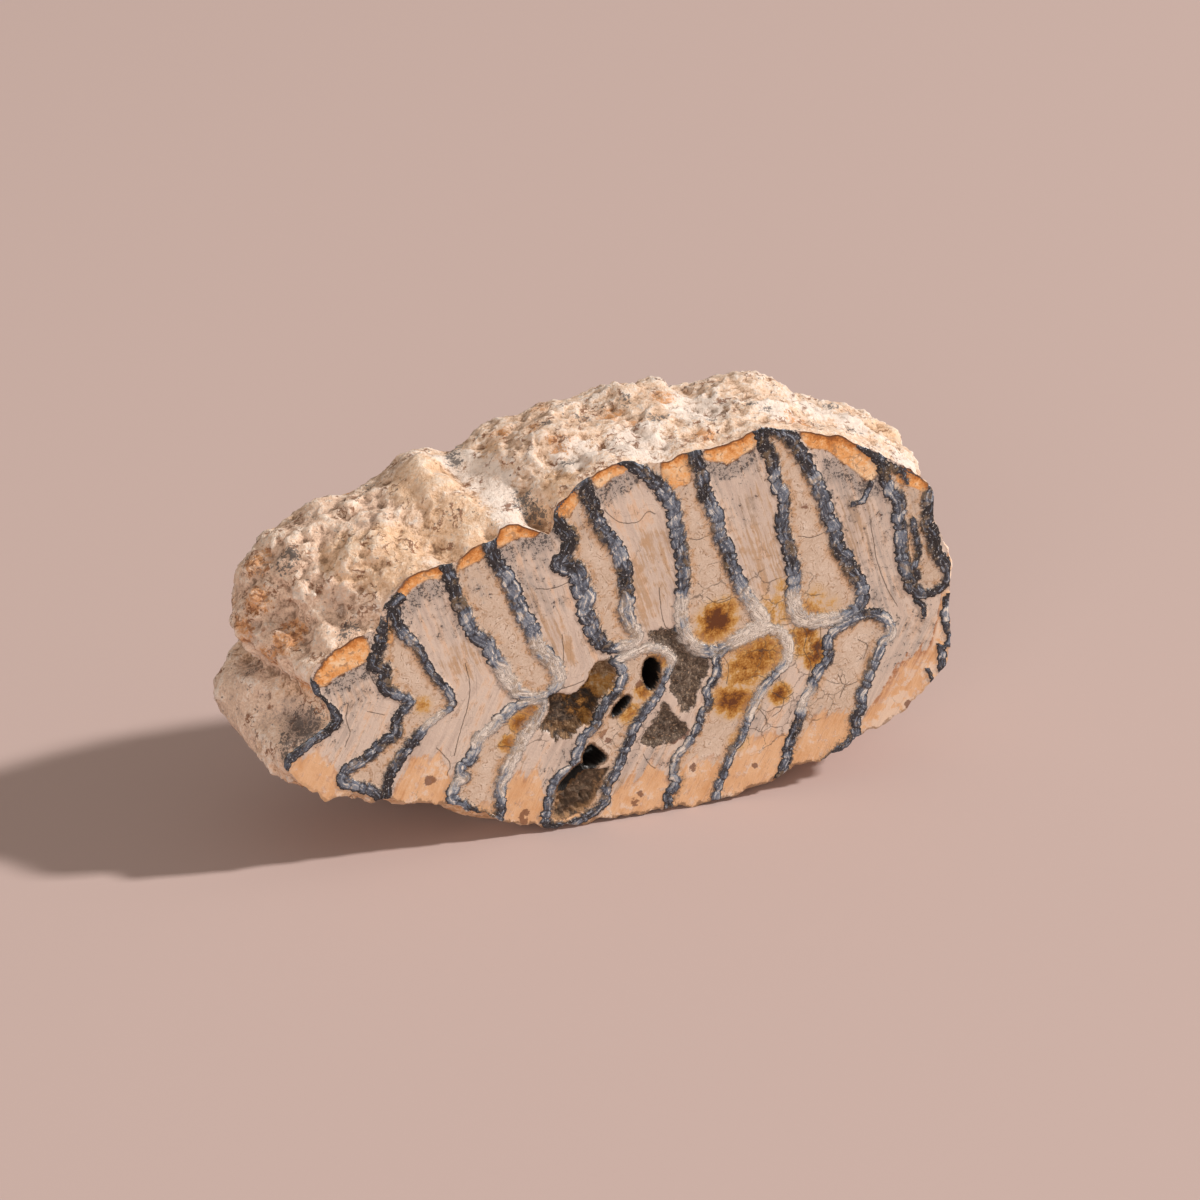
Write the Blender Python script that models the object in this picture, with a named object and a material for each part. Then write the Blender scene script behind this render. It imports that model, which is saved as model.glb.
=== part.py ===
"""Fossil mammoth molar: one heavy solid, sawn flat and polished on one side.

The saw cut runs across the enamel plates, so their edges show as crooked loops on the flat face.
Behind the cut is the tooth's own skin of cement: domed on top, knobbly at the left end where the last
plate bulges out as a rounded lobe, ribbed at the back, and worn flat where the fossil stands.

Axes: X runs along the tooth, Y runs back from the polished face, Z is up. Outlines are written in
millimetres as (x, z) seen from the front, and turned into metres by MM.
"""

import math

import bmesh
import bpy
from mathutils import Matrix, Vector, noise
from mathutils.geometry import delaunay_2d_cdt

MM = 0.001

# Driving dimensions, in millimetres
BODY_DEPTH = 50.0  # from the polished face to the back
SHOULDER_DEPTH = 23.0  # where the body is at its widest
FACE_SEGMENTS = 156  # corners round the polished face
SHOULDER_RINGS = 9  # rings from the face to the shoulder
BACK_RINGS = 6  # rings from the shoulder to the edge of the back cap
BACK_ROUNDNESS = 2.3  # 2 is an ellipse, more is boxier
CAP_SIZE = 0.78  # where the rings end and the back cap begins, as a share of the widest outline
CAP_GRID = 4.2  # spacing of the back cap's corners
CORE = (5.0, 38.0)  # the line that every outline goes round, as (x, z)
ENAMEL_PROUD = 0.45  # the hard enamel stands this far out of the softer dentine and cement
ENAMEL_ROOT = 1.5  # how far each ridge is sunk into the body before they are joined
RIDGE_AREA = 0.995  # the ridges end just inside the face's edge, at this share of its outline

# The edge of the polished face, from the lower left corner clockwise
FACE_OUTLINE = [
    (-63.5, 22.3), (-62.8, 25.5), (-60.0, 27.5), (-56.5, 29.5), (-52.8, 31.4), (-54.0, 34.0),
    (-56.8, 37.5), (-56.8, 40.8), (-54.0, 44.0), (-50.0, 46.4), (-46.5, 47.6), (-43.2, 47.6),
    (-42.2, 50.0), (-41.6, 53.2), (-39.8, 56.3), (-36.5, 58.8), (-33.0, 59.8), (-29.8, 60.6),
    (-28.2, 59.4), (-26.0, 61.8), (-22.5, 62.6), (-20.6, 63.2), (-19.6, 66.3), (-16.0, 65.8),
    (-12.4, 63.8), (-9.8, 62.2), (-8.6, 66.8), (-6.0, 70.2), (-3.6, 72.2), (-0.5, 73.6),
    (4.0, 75.0), (8.5, 74.6), (13.5, 74.4), (19.0, 76.0), (25.0, 76.0), (29.5, 77.8),
    (33.5, 79.0), (38.0, 77.6), (44.0, 76.0), (50.0, 73.8), (55.5, 71.2), (60.5, 68.2),
    (65.0, 65.4), (69.2, 61.6), (69.6, 56.0), (71.2, 50.0), (73.2, 44.5), (74.0, 37.0),
    (74.3, 29.0), (73.8, 23.5), (71.0, 18.8), (66.5, 15.2), (62.0, 11.2), (56.0, 8.9),
    (50.5, 6.4), (44.5, 5.3), (40.0, 3.6), (36.5, 2.2), (30.5, 1.2), (25.0, 0.0),
    (12.0, 0.0), (0.0, 0.0), (-10.0, 0.0), (-14.5, 1.4), (-20.0, 3.8), (-25.0, 6.4),
    (-30.5, 8.6), (-36.5, 10.4), (-43.5, 12.4), (-49.5, 13.8), (-55.0, 14.6), (-59.5, 17.2),
]

# The widest outline, at the shoulder; heights below the floor are worn flat later
SHOULDER_OUTLINE = [
    (-66.0, 22.0), (-67.6, 26.0), (-68.2, 30.0), (-67.0, 33.8), (-64.4, 36.4), (-65.4, 40.0),
    (-66.4, 44.0), (-66.2, 48.4), (-64.6, 52.4), (-61.2, 56.4), (-56.8, 59.6), (-52.2, 61.8),
    (-47.8, 63.6), (-43.2, 65.0), (-39.2, 66.0), (-35.6, 66.8), (-32.2, 68.0), (-29.2, 70.4),
    (-26.0, 71.8), (-22.1, 70.4), (-18.5, 72.0), (-15.0, 73.8), (-9.0, 75.6), (-3.0, 77.2),
    (3.0, 77.8), (9.0, 78.4), (13.0, 79.8), (18.0, 80.2), (23.0, 79.6), (27.0, 78.0),
    (31.0, 79.0), (38.0, 79.4), (43.5, 78.4), (47.5, 76.2), (51.5, 73.6), (57.0, 71.8),
    (63.2, 70.2), (68.2, 66.6), (71.2, 61.0), (72.8, 52.0), (74.2, 44.0), (74.6, 36.0),
    (74.2, 28.0), (72.0, 20.0), (67.5, 13.5), (61.0, 8.5), (54.0, 5.0), (46.0, 1.5),
    (37.0, -3.0), (25.0, -5.0), (10.0, -5.5), (-4.0, -5.0), (-15.0, -3.0), (-25.0, 1.0),
    (-35.0, 4.6), (-45.0, 7.6), (-53.0, 10.6), (-59.5, 14.6), (-63.6, 18.2),
]

# Lumps and hollows of the cement skin: (x, y, z), reach, height
SKIN_LUMPS = [
    ((-62.0, 22.0, 29.0), 10.0, 1.6),  # the end plate's rounded lobe
    ((-30.0, 22.0, 71.0), 6.5, 2.2),  # the smooth peak over the second plate
    ((-45.0, 24.0, 67.0), 6.0, 1.2),  # knobs of the block at the left end
    ((-57.5, 22.0, 60.0), 6.0, 1.0),
    ((-65.0, 18.0, 55.0), 5.0, 1.2),
    ((-52.0, 12.0, 55.0), 7.0, 1.4),
    ((-40.0, 10.0, 63.5), 6.0, 1.0),
    ((-60.0, 12.0, 51.0), 3.6, -1.3),  # the hollow between its two big knobs
    ((-64.0, 15.0, 45.0), 5.0, 1.0),
    ((-58.5, 4.0, 40.5), 4.0, 0.9),
    ((-23.0, 20.0, 72.0), 4.0, -2.6),  # the dark pit beside the peak
    ((-19.0, 15.0, 71.5), 5.5, -2.2),  # the pale gully, from that pit down to the polished edge
    ((-15.5, 8.0, 69.0), 5.0, -2.0),
    ((-12.5, 3.0, 65.5), 4.0, -1.6),
    ((-5.0, 20.0, 79.0), 8.0, 1.0),
    ((14.0, 24.0, 81.0), 6.0, 1.2),
    ((26.5, 25.0, 79.5), 4.5, -1.8),  # the notch in the crest
    ((37.0, 23.0, 80.0), 8.0, 1.4),
    ((48.5, 20.0, 76.5), 5.0, -1.2),
    ((60.0, 16.0, 70.0), 7.0, 0.8),
]

# The groove that parts the lobe from the knobbly block above it: points, reach, depth
LOBE_GROOVE = [(-57.5, 1.5, 36.8), (-59.5, 8.0, 36.0), (-62.5, 16.0, 36.8), (-65.0, 26.0, 37.2), (-63.0, 38.0, 37.0)]
LOBE_GROOVE_REACH = 3.0
LOBE_GROOVE_DEPTH = 2.8

# Plate ribs on the back, where the cement lies over the plates like a corrugated sheet
RIB_SPACING = 20.0
RIB_HEIGHT = 1.3
RIB_BEND = 0.28  # how far each rib leans, per unit of height away from the core

# Roughness of the skin: (size of the bumps, height)
SKIN_BUMPS = [(16.0, 1.0), (7.0, 1.1), (3.8, 0.6)]
MIN_SKIN_DEPTH = 0.4  # the roughened skin never passes in front of the polished face

# The enamel walls on the polished face: width, then the line that each follows
ENAMEL_WALLS = {
    "end_plate": (2.0, [(-56.3, 36.8), (-54.4, 34.0), (-53.6, 31.4), (-57.0, 28.4), (-61.0, 25.4), (-62.6, 23.3)]),
    "plate_1_left": (2.2, [
        (-43.2, 46.0), (-44.6, 42.0), (-42.8, 37.5), (-38.6, 32.8), (-41.0, 29.8), (-40.8, 26.6),
        (-46.0, 23.2), (-51.2, 20.0), (-50.8, 17.6), (-44.2, 14.0),
    ]),
    "plate_1_right": (2.0, [
        (-40.9, 51.6), (-39.2, 46.8), (-36.0, 43.0), (-33.2, 37.2), (-30.4, 30.8), (-35.5, 26.6),
        (-39.6, 22.2), (-42.6, 17.0), (-43.4, 14.0),
    ]),
    "plate_2_left": (2.3, [
        (-30.0, 59.6), (-28.4, 52.0), (-25.6, 45.2), (-22.0, 41.0), (-19.6, 36.0), (-16.8, 31.0),
        (-12.4, 29.2), (-18.0, 27.6), (-24.4, 22.8), (-27.8, 16.8), (-30.0, 12.0), (-26.4, 7.8), (-21.6, 5.0),
    ]),
    "plate_2_right": (2.6, [
        (-21.8, 61.4), (-18.6, 55.2), (-15.6, 47.4), (-13.0, 41.2), (-9.6, 36.0), (-8.6, 32.6), (-11.8, 28.8),
        (-14.6, 22.8), (-18.8, 15.4), (-20.6, 10.0), (-20.8, 5.4),
    ]),
    "plate_3_left": (2.6, [
        (-7.2, 63.0), (-6.6, 58.6), (-5.0, 53.6), (-3.2, 47.0), (-1.4, 41.6), (2.4, 35.6), (4.5, 31.0),
        (0.4, 25.0), (-3.6, 19.0), (-5.4, 13.4), (-9.4, 10.4), (-11.0, 4.0), (-8.8, 1.4), (-3.6, 1.6), (1.0, 4.6),
    ]),
    "plate_3_right": (2.5, [
        (-3.0, 70.6), (-0.6, 65.0), (2.6, 59.4), (4.9, 52.6), (5.4, 46.0), (7.0, 39.6), (12.6, 35.6),
        (14.4, 31.6), (11.4, 25.4), (7.2, 19.6), (4.4, 13.2), (1.2, 7.8), (1.2, 5.6),
    ]),
    "plate_4_left": (2.4, [
        (7.2, 73.6), (11.8, 69.6), (15.0, 64.4), (16.4, 56.0), (17.0, 48.0), (17.0, 40.0), (20.4, 34.6),
        (25.6, 33.4), (24.2, 29.6), (22.2, 24.4), (20.8, 19.0), (16.6, 12.6), (15.4, 6.6), (14.6, 1.2),
    ]),
    "plate_4_right": (2.3, [
        (19.6, 74.6), (21.6, 66.6), (24.0, 60.0), (26.6, 52.4), (30.2, 44.0), (33.4, 37.6), (38.2, 32.6),
        (37.4, 27.4), (32.6, 21.4), (29.4, 13.4), (26.4, 8.0), (24.3, 1.2),
    ]),
    "plate_5_left": (2.3, [
        (32.8, 77.4), (35.0, 71.0), (37.0, 64.0), (37.6, 57.0), (39.4, 50.4), (40.0, 42.0), (44.0, 36.8),
        (50.0, 37.0), (47.4, 31.4), (46.0, 26.0), (43.4, 20.4), (40.2, 12.0), (38.0, 3.6),
    ]),
    "plate_5_right": (2.3, [
        (34.6, 77.4), (39.6, 74.4), (42.6, 68.8), (45.6, 62.4), (48.0, 55.6), (51.6, 47.2), (54.4, 41.4),
        (52.4, 37.8), (57.4, 36.0), (61.0, 32.2), (57.6, 25.6), (55.2, 18.4), (54.0, 11.6), (51.0, 7.8),
    ]),
    "plate_6_left": (2.8, [
        (58.8, 65.6), (61.0, 60.4), (62.2, 54.0), (63.0, 47.4), (65.2, 41.2), (68.4, 38.8), (72.0, 40.6),
    ]),
    "plate_6_right": (1.8, [(68.4, 60.6), (67.9, 54.0), (69.8, 48.6), (71.9, 44.4), (72.0, 40.6)]),
    "rim_enamel": (1.4, [(54.8, 70.3), (58.4, 67.2), (62.6, 65.2)]),
}
ENAMEL_STEP = 3.0  # length of a ridge's segments

# Pits in the polished face where the tooth is hollow: (x, z), (half width, half height), depth, lean in degrees
FACE_PITS = [
    ((10.4, 30.4), (1.9, 3.4), 7.0, -8.0),
    ((4.2, 24.8), (1.9, 1.0), 4.5, 40.0),
    ((-1.8, 14.2), (2.8, 2.6), 6.0, 0.0),
    ((-5.6, 6.6), (3.8, 3.6), 2.2, 20.0),
    ((14.2, 37.8), (2.9, 1.7), 1.6, 0.0),
    ((-4.4, 27.0), (4.6, 2.4), 1.2, -25.0),
    ((16.4, 17.0), (1.9, 1.1), 1.4, 20.0),
]
PIT_SEGMENTS = 10
PIT_RINGS = 6
PIT_ROUGHNESS = 0.22  # share of its radius that a pit's wall wanders by


def smooth_line(points, step):
    """Points about one step apart on the smooth curve through the given points."""
    ends = [2 * points[0] - points[1], *points, 2 * points[-1] - points[-2]]
    line = []
    for before, start, end, after in zip(ends, ends[1:], ends[2:], ends[3:]):
        pieces = max(1, round((end - start).length / step))
        for i in range(pieces):
            t = i / pieces
            line.append(0.5 * (
                2 * start + (end - before) * t
                + (2 * before - 5 * start + 4 * end - after) * t * t
                + (3 * start - before - 3 * end + after) * t ** 3
            ))
    line.append(points[-1].copy())
    return line


def evenly_spaced(outline, count):
    """Corners at equal distances along a closed outline."""
    corners = [Vector(p) for p in outline]
    lengths = [(b - a).length for a, b in zip(corners, corners[1:] + corners[:1])]
    step = sum(lengths) / count
    spaced = []
    edge, left_behind = 0, 0.0
    for i in range(count):
        while i * step > left_behind + lengths[edge]:
            left_behind += lengths[edge]
            edge += 1
        share = (i * step - left_behind) / lengths[edge]
        spaced.append(corners[edge].lerp(corners[(edge + 1) % len(corners)], share))
    return spaced


def along_ray(outline, direction):
    """Where a ray from the core in this direction leaves a closed outline."""
    core = Vector(CORE)
    side = Vector((-direction.y, direction.x))
    best = 0.0
    for a, b in zip(outline, outline[1:] + outline[:1]):
        start, end = Vector(a) - core, Vector(b) - core
        across_start, across_end = start.dot(side), end.dot(side)
        if across_start * across_end > 0 or across_start == across_end:
            continue
        hit = start.lerp(end, across_start / (across_start - across_end))
        best = max(best, hit.dot(direction))
    return core + direction * best


def falloff(distance, reach):
    """1 at the middle of a lump, fading smoothly to nothing beyond its reach."""
    return math.exp(-(distance / reach) ** 2 * 1.6)


def distance_to_line(point, line):
    """Shortest distance from a point to a line of straight runs."""
    nearest = math.inf
    for a, b in zip(line, line[1:]):
        run = b - a
        share = max(0.0, min(1.0, (point - a).dot(run) / run.length_squared))
        nearest = min(nearest, (point - a - run * share).length)
    return nearest


def skin_height(point):
    """How far the skin stands out from the smooth body at a point, in millimetres."""
    height = sum(rise * falloff((point - Vector(place)).length, reach) for place, reach, rise in SKIN_LUMPS)
    groove = distance_to_line(point, [Vector(p) for p in LOBE_GROOVE])
    height -= LOBE_GROOVE_DEPTH * falloff(groove, LOBE_GROOVE_REACH)
    for number, (size, rise) in enumerate(SKIN_BUMPS):
        shifted = point / size + Vector((3.1, 7.7, 1.9)) * (number + 1)
        height += rise * noise.noise(shifted)
    lean = RIB_BEND * abs(point.z - CORE[1])
    wave = 0.5 + 0.5 * math.cos(2 * math.pi * (point.x + lean) / RIB_SPACING)
    towards_back = max(0.0, min(1.0, (point.y - SHOULDER_DEPTH) / 14.0))
    return height + RIB_HEIGHT * towards_back * (wave ** 2 - 0.4)


def dome_depth(size):
    """Depth of the rounded back where its outline has shrunk to this share of the widest one."""
    rise = (1 - min(1.0, size) ** BACK_ROUNDNESS) ** (1 / BACK_ROUNDNESS)
    return SHOULDER_DEPTH + (BODY_DEPTH - SHOULDER_DEPTH) * rise


def body_rings():
    """Rings of corners from the polished face to the edge of the back cap, in millimetres."""
    face = evenly_spaced(FACE_OUTLINE, FACE_SEGMENTS)
    core = Vector(CORE)
    shoulder = [along_ray(SHOULDER_OUTLINE, (corner - core).normalized()) for corner in face]
    rings = [[Vector((p.x, 0.0, p.y)) for p in face]]
    for i in range(1, SHOULDER_RINGS + 1):
        depth = SHOULDER_DEPTH * (i / SHOULDER_RINGS) ** 1.3
        swell = math.sin(math.pi / 2 * depth / SHOULDER_DEPTH) ** 0.85
        rings.append([
            Vector((mixed.x, depth, mixed.y)) for mixed in (a.lerp(b, swell) for a, b in zip(face, shoulder))
        ])
    last_turn = math.acos(CAP_SIZE ** (BACK_ROUNDNESS / 2))
    for i in range(1, BACK_RINGS + 1):
        size = math.cos(last_turn * i / BACK_RINGS) ** (2 / BACK_ROUNDNESS)
        rings.append([
            Vector((shrunk.x, dome_depth(size), shrunk.y)) for shrunk in (core + (p - core) * size for p in shoulder)
        ])
    return rings


def cap_points(rim):
    """Corners of a triangular grid inside the back cap's rim, as (x, z)."""
    core = Vector(CORE)
    rows = math.ceil(60 / CAP_GRID)
    columns = math.ceil(80 / CAP_GRID)
    inside = []
    for row in range(-rows, rows + 1):
        for column in range(-columns, columns + 1):
            shift = 0.5 if row % 2 else 0.0
            point = core + Vector((column + shift, row * math.sqrt(3) / 2)) * CAP_GRID
            away = point - core
            if away.length < 1e-6:
                inside.append(point)
                continue
            edge = along_ray(rim, away.normalized()) - core
            if away.length < edge.length - 0.6 * CAP_GRID:
                inside.append(point)
    return inside


def add_back_cap(mesh, rim_corners, rim):
    """Closes the back with an even net of triangles that follows the dome."""
    core = Vector(CORE)
    inner = cap_points(rim)
    count = len(rim)
    flat = [Vector(p) for p in rim] + inner
    edges = [(i, (i + 1) % count) for i in range(count)]
    net_points, _, triangles, origins, _, _ = delaunay_2d_cdt(flat, edges, [], 1, 1e-5)
    corners = {}
    for index, sources in enumerate(origins):
        source = sources[0]
        if source < count:
            corners[index] = rim_corners[source]
            continue
        point = net_points[index]
        away = point - core
        reach = (along_ray(rim, away.normalized()) - core).length if away.length > 1e-6 else 1.0
        depth = dome_depth(CAP_SIZE * away.length / reach)
        corners[index] = mesh.verts.new(Vector((point.x, depth, point.y)) * MM)
    for triangle in triangles:
        mesh.faces.new([corners[i] for i in triangle])


def make_body():
    """The tooth as one closed skin: rings bridged by faces, a flat face in front and a domed cap behind."""
    rings = body_rings()
    mesh = bmesh.new()
    corners = [[mesh.verts.new(p * MM) for p in ring] for ring in rings]
    count = FACE_SEGMENTS
    for front, back in zip(corners, corners[1:]):
        for i in range(count):
            mesh.faces.new((front[i], front[(i + 1) % count], back[(i + 1) % count], back[i]))
    polished = mesh.faces.new(list(reversed(corners[0])))
    add_back_cap(mesh, corners[-1], [(p.x, p.z) for p in rings[-1]])
    bmesh.ops.recalc_face_normals(mesh, faces=mesh.faces)
    mesh.normal_update()
    roughen(mesh, set(polished.verts))
    return object_from(mesh, "molar")


def roughen(mesh, face_corners):
    """Moves the skin out and in by its lumps, grooves and ribs; the underside is worn flat."""
    moved = {}
    for vert in mesh.verts:
        if vert not in face_corners:
            place = vert.co / MM
            moved[vert] = place + vert.normal * skin_height(place)
    for vert, place in moved.items():
        vert.co = Vector((place.x, max(place.y, MIN_SKIN_DEPTH), max(place.z, 0.0))) * MM


def object_from(mesh, name):
    """An object with this mesh, its faces pointing out."""
    bmesh.ops.recalc_face_normals(mesh, faces=mesh.faces)
    data = bpy.data.meshes.new(name)
    mesh.to_mesh(data)
    mesh.free()
    made = bpy.data.objects.new(name, data)
    bpy.context.scene.collection.objects.link(made)
    return made


def make_enamel_ridge(name, width, points):
    """One enamel wall as a low flat-topped ridge, half sunk into the face."""
    line = smooth_line([Vector(p) for p in points], ENAMEL_STEP)
    mesh = bmesh.new()
    sections = []
    for i, middle in enumerate(line):
        ahead, behind = line[min(i + 1, len(line) - 1)], line[max(i - 1, 0)]
        way = (ahead - behind).normalized()
        across = Vector((-way.y, way.x)) * width / 2
        left, right = middle + across, middle - across
        sections.append([
            mesh.verts.new(Vector((side.x, depth, side.y)) * MM)
            for side, depth in (
                (left, -ENAMEL_PROUD), (right, -ENAMEL_PROUD), (right, ENAMEL_ROOT), (left, ENAMEL_ROOT),
            )
        ])
    for first, second in zip(sections, sections[1:]):
        for i in range(4):
            mesh.faces.new((first[i], first[(i + 1) % 4], second[(i + 1) % 4], second[i]))
    mesh.faces.new(list(reversed(sections[0])))
    mesh.faces.new(sections[-1])
    return object_from(mesh, name)


def make_pit(number, place, half_size, depth, lean):
    """The cutter for one pit: a lumpy egg whose middle lies on the face."""
    mesh = bmesh.new()
    bmesh.ops.create_uvsphere(mesh, u_segments=PIT_SEGMENTS, v_segments=PIT_RINGS, radius=1.0)
    turn = Matrix.Rotation(math.radians(lean), 4, "Y")
    for vert in mesh.verts:
        direction = vert.co.copy()
        wander = 1 + PIT_ROUGHNESS * noise.noise(direction * 1.7 + Vector((number * 5.3, 0, 0)))
        grown = Vector((direction.x * half_size[0], direction.y * depth, direction.z * half_size[1])) * wander
        vert.co = (turn @ grown + Vector((place[0], 0.0, place[1]))) * MM
    return object_from(mesh, f"pit_cutter_{number}")


def combine(target, tool, operation):
    """Changes the target by its union with a tool, by the tool cut out of it, or by what both share."""
    modifier = target.modifiers.new(operation.lower(), "BOOLEAN")
    modifier.operation = operation
    modifier.solver = "EXACT"
    modifier.use_self = operation != "DIFFERENCE"
    modifier.object = tool
    bpy.context.view_layer.objects.active = target
    bpy.ops.object.modifier_apply(modifier=modifier.name)


def make_face_block():
    """A plate of the face's outline, a little smaller, which keeps the ridges off the face's very edge."""
    core = Vector(CORE)
    mesh = bmesh.new()
    front, back = [], []
    for corner in evenly_spaced(FACE_OUTLINE, FACE_SEGMENTS):
        p = core + (corner - core) * RIDGE_AREA
        front.append(mesh.verts.new(Vector((p.x, -2 * ENAMEL_ROOT, p.y)) * MM))
        back.append(mesh.verts.new(Vector((p.x, 2 * ENAMEL_ROOT, p.y)) * MM))
    count = FACE_SEGMENTS
    for i in range(count):
        mesh.faces.new((front[i], front[(i + 1) % count], back[(i + 1) % count], back[i]))
    mesh.faces.new(list(reversed(front)))
    mesh.faces.new(back)
    return object_from(mesh, "face_block")


def fossil_material():
    """Cream and tan mineralised cement."""
    material = bpy.data.materials.new("fossil_tooth")
    material.use_nodes = True
    surface = material.node_tree.nodes["Principled BSDF"]
    surface.inputs["Base Color"].default_value = (0.62, 0.47, 0.34, 1.0)
    surface.inputs["Roughness"].default_value = 0.6
    surface.inputs["Metallic"].default_value = 0.0
    return material


def stand_on_origin(body):
    """Puts the middle of the body's box over the origin, with its worn underside at height 0."""
    corners = [vert.co for vert in body.data.vertices]
    low = Vector([min(p[i] for p in corners) for i in range(3)])
    high = Vector([max(p[i] for p in corners) for i in range(3)])
    middle = (low + high) / 2
    body.data.transform(Matrix.Translation((-middle.x, -middle.y, -low.z)))


def main():
    for old in list(bpy.data.objects):
        bpy.data.objects.remove(old)
    body = make_body()
    block = make_face_block()
    for name, (width, points) in ENAMEL_WALLS.items():
        ridge = make_enamel_ridge(name, width, points)
        combine(ridge, block, "INTERSECT")
        combine(body, ridge, "UNION")
        bpy.data.objects.remove(ridge)
    bpy.data.objects.remove(block)
    for number, pit in enumerate(FACE_PITS):
        cutter = make_pit(number, *pit)
        combine(body, cutter, "DIFFERENCE")
        bpy.data.objects.remove(cutter)
    stand_on_origin(body)
    body.data.materials.append(fossil_material())
    body.data.shade_smooth()
    body.data.set_sharp_from_angle(angle=math.radians(35))


main()
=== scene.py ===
# %% [markdown]
# # A fossil mammoth molar, sawn and polished
# A mammoth's molar is a row of flat enamel plates, set in a softer cement like books in glue. This one
# was sawn across the plates and polished, so each plate shows as a crooked loop of hard blue-black
# enamel round a core of dentine. Behind the cut is the tooth's own crust of weathered cement.
# The whole tooth is one piece. We start from the plain solid, give its crust real relief, saw it again
# with a fine grid so that the polished side can carry detail, and paint every material with nodes.

# %% Load the frame
import math

import bpy
import numpy as np
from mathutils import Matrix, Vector, noise
from mathutils.kdtree import KDTree


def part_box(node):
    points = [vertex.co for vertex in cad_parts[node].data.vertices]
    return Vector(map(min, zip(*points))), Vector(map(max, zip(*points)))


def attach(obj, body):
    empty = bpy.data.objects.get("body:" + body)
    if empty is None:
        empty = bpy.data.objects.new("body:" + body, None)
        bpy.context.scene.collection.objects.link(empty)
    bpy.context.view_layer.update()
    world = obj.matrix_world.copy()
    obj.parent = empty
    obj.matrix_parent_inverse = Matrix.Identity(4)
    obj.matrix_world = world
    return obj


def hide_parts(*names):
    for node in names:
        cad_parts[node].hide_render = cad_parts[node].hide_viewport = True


MM = 0.001
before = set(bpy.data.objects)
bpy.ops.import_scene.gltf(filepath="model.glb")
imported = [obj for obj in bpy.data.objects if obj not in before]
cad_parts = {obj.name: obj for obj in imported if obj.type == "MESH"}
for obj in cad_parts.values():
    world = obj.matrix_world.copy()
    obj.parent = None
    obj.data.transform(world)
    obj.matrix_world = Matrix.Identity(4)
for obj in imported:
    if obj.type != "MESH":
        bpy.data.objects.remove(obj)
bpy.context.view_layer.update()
plain_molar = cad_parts["molar"]

# %% [markdown]
# ## The drawing's own axes
# Every line and patch of the polished side is drawn in millimetres as (x, z), seen from the front, with
# y counted back from the polished face. The plain solid tells where that drawing lies: its enamel edges
# stand 0.45 mm out of the face, and the lower left corner of the face is a point we can find again.


# %% Reading and moving a mesh
def values_of(things, name, width=1, kind=float):
    """One built-in value of all vertices, edges, loops or polygons, in rows of this width."""
    values = np.empty(len(things) * width, kind)
    things.foreach_get(name, values)
    return values.reshape(-1, width) if width > 1 else values


def move_vertices(thing_mesh, places):
    """Puts every vertex of a mesh at its place, in metres."""
    thing_mesh.vertices.foreach_set("co", places.ravel())
    thing_mesh.update()


# %% Find the polished face
ENAMEL_PROUD = 0.45
LOWER_LEFT_CORNER = (-63.5, 22.3)
SAME_PLACE = 0.02

corners = values_of(plain_molar.data.vertices, "co", 3) / MM
FACE_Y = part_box("molar")[0][1] / MM + ENAMEL_PROUD
at_corner = (abs(corners[:, 1:] - (FACE_Y, LOWER_LEFT_CORNER[1])) < SAME_PLACE).all(axis=1)
SHIFT_X = corners[at_corner, 0].min() - LOWER_LEFT_CORNER[0]
print(f"polished face at y {FACE_Y:.2f} mm, drawing shifted by {SHIFT_X:.2f} mm")


def in_frame(x, y, z):
    """A point of the drawing, in millimetres, as a point of the frame, in metres."""
    return Vector(((x + SHIFT_X) * MM, (y + FACE_Y) * MM, z * MM))


# %% [markdown]
# ## Camera
# A long lens looks down on the polished side from its left, so that the domed top, the knobbly left end
# and the whole sawn face show together.

# %% Camera
CAMERA_YAW = math.radians(-20)
CAMERA_HEIGHT_ANGLE = math.radians(24)
CAMERA_DISTANCE = 665
CAMERA_TARGET = (0, 0, 47.785)
LENS = 105

looking = Vector((
    -math.sin(CAMERA_YAW) * math.cos(CAMERA_HEIGHT_ANGLE),
    math.cos(CAMERA_YAW) * math.cos(CAMERA_HEIGHT_ANGLE),
    -math.sin(CAMERA_HEIGHT_ANGLE),
))
camera_data = bpy.data.cameras.new("camera")
camera_data.lens = LENS
camera = bpy.data.objects.new("camera", camera_data)
camera.location = in_frame(*CAMERA_TARGET) - looking * CAMERA_DISTANCE * MM
camera.rotation_euler = (math.pi / 2 - CAMERA_HEIGHT_ANGLE, 0, CAMERA_YAW)
bpy.context.scene.collection.objects.link(camera)
bpy.context.scene.camera = camera

# %% [markdown]
# ## Floor and light
# The floor is plain and pale. A low lamp from the right grazes the polished face and draws the long
# shadow; a broad weak one from the left and the pale surroundings fill the rest. The Standard view shows
# the colours as they are painted.


# %% Selecting
def select_only(thing):
    """Leaves one object selected and active, as a click on it would."""
    bpy.ops.object.select_all(action="DESELECT")
    thing.select_set(True)
    bpy.context.view_layer.objects.active = thing


# %% Floor
FLOOR_SIZE = 6
FLOOR_COLOUR = (0.50, 0.38, 0.354)
FLOOR_ROUGHNESS = 0.9

bpy.ops.object.select_all(action="DESELECT")
bpy.ops.mesh.primitive_plane_add(size=FLOOR_SIZE, location=(0, 0, 0))
floor = bpy.context.object
floor.name = "floor"
floor_paint = bpy.data.materials.new("floor_paint")
floor_paint.use_nodes = True
floor_shader = floor_paint.node_tree.nodes["Principled BSDF"]
floor_shader.inputs["Base Color"].default_value = (*FLOOR_COLOUR, 1)
floor_shader.inputs["Roughness"].default_value = FLOOR_ROUGHNESS
floor.data.materials.append(floor_paint)


# %% Lamps and room
ROOM_COLOUR = (1.0, 0.87, 0.76)
ROOM_STRENGTH = 0.37


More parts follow.
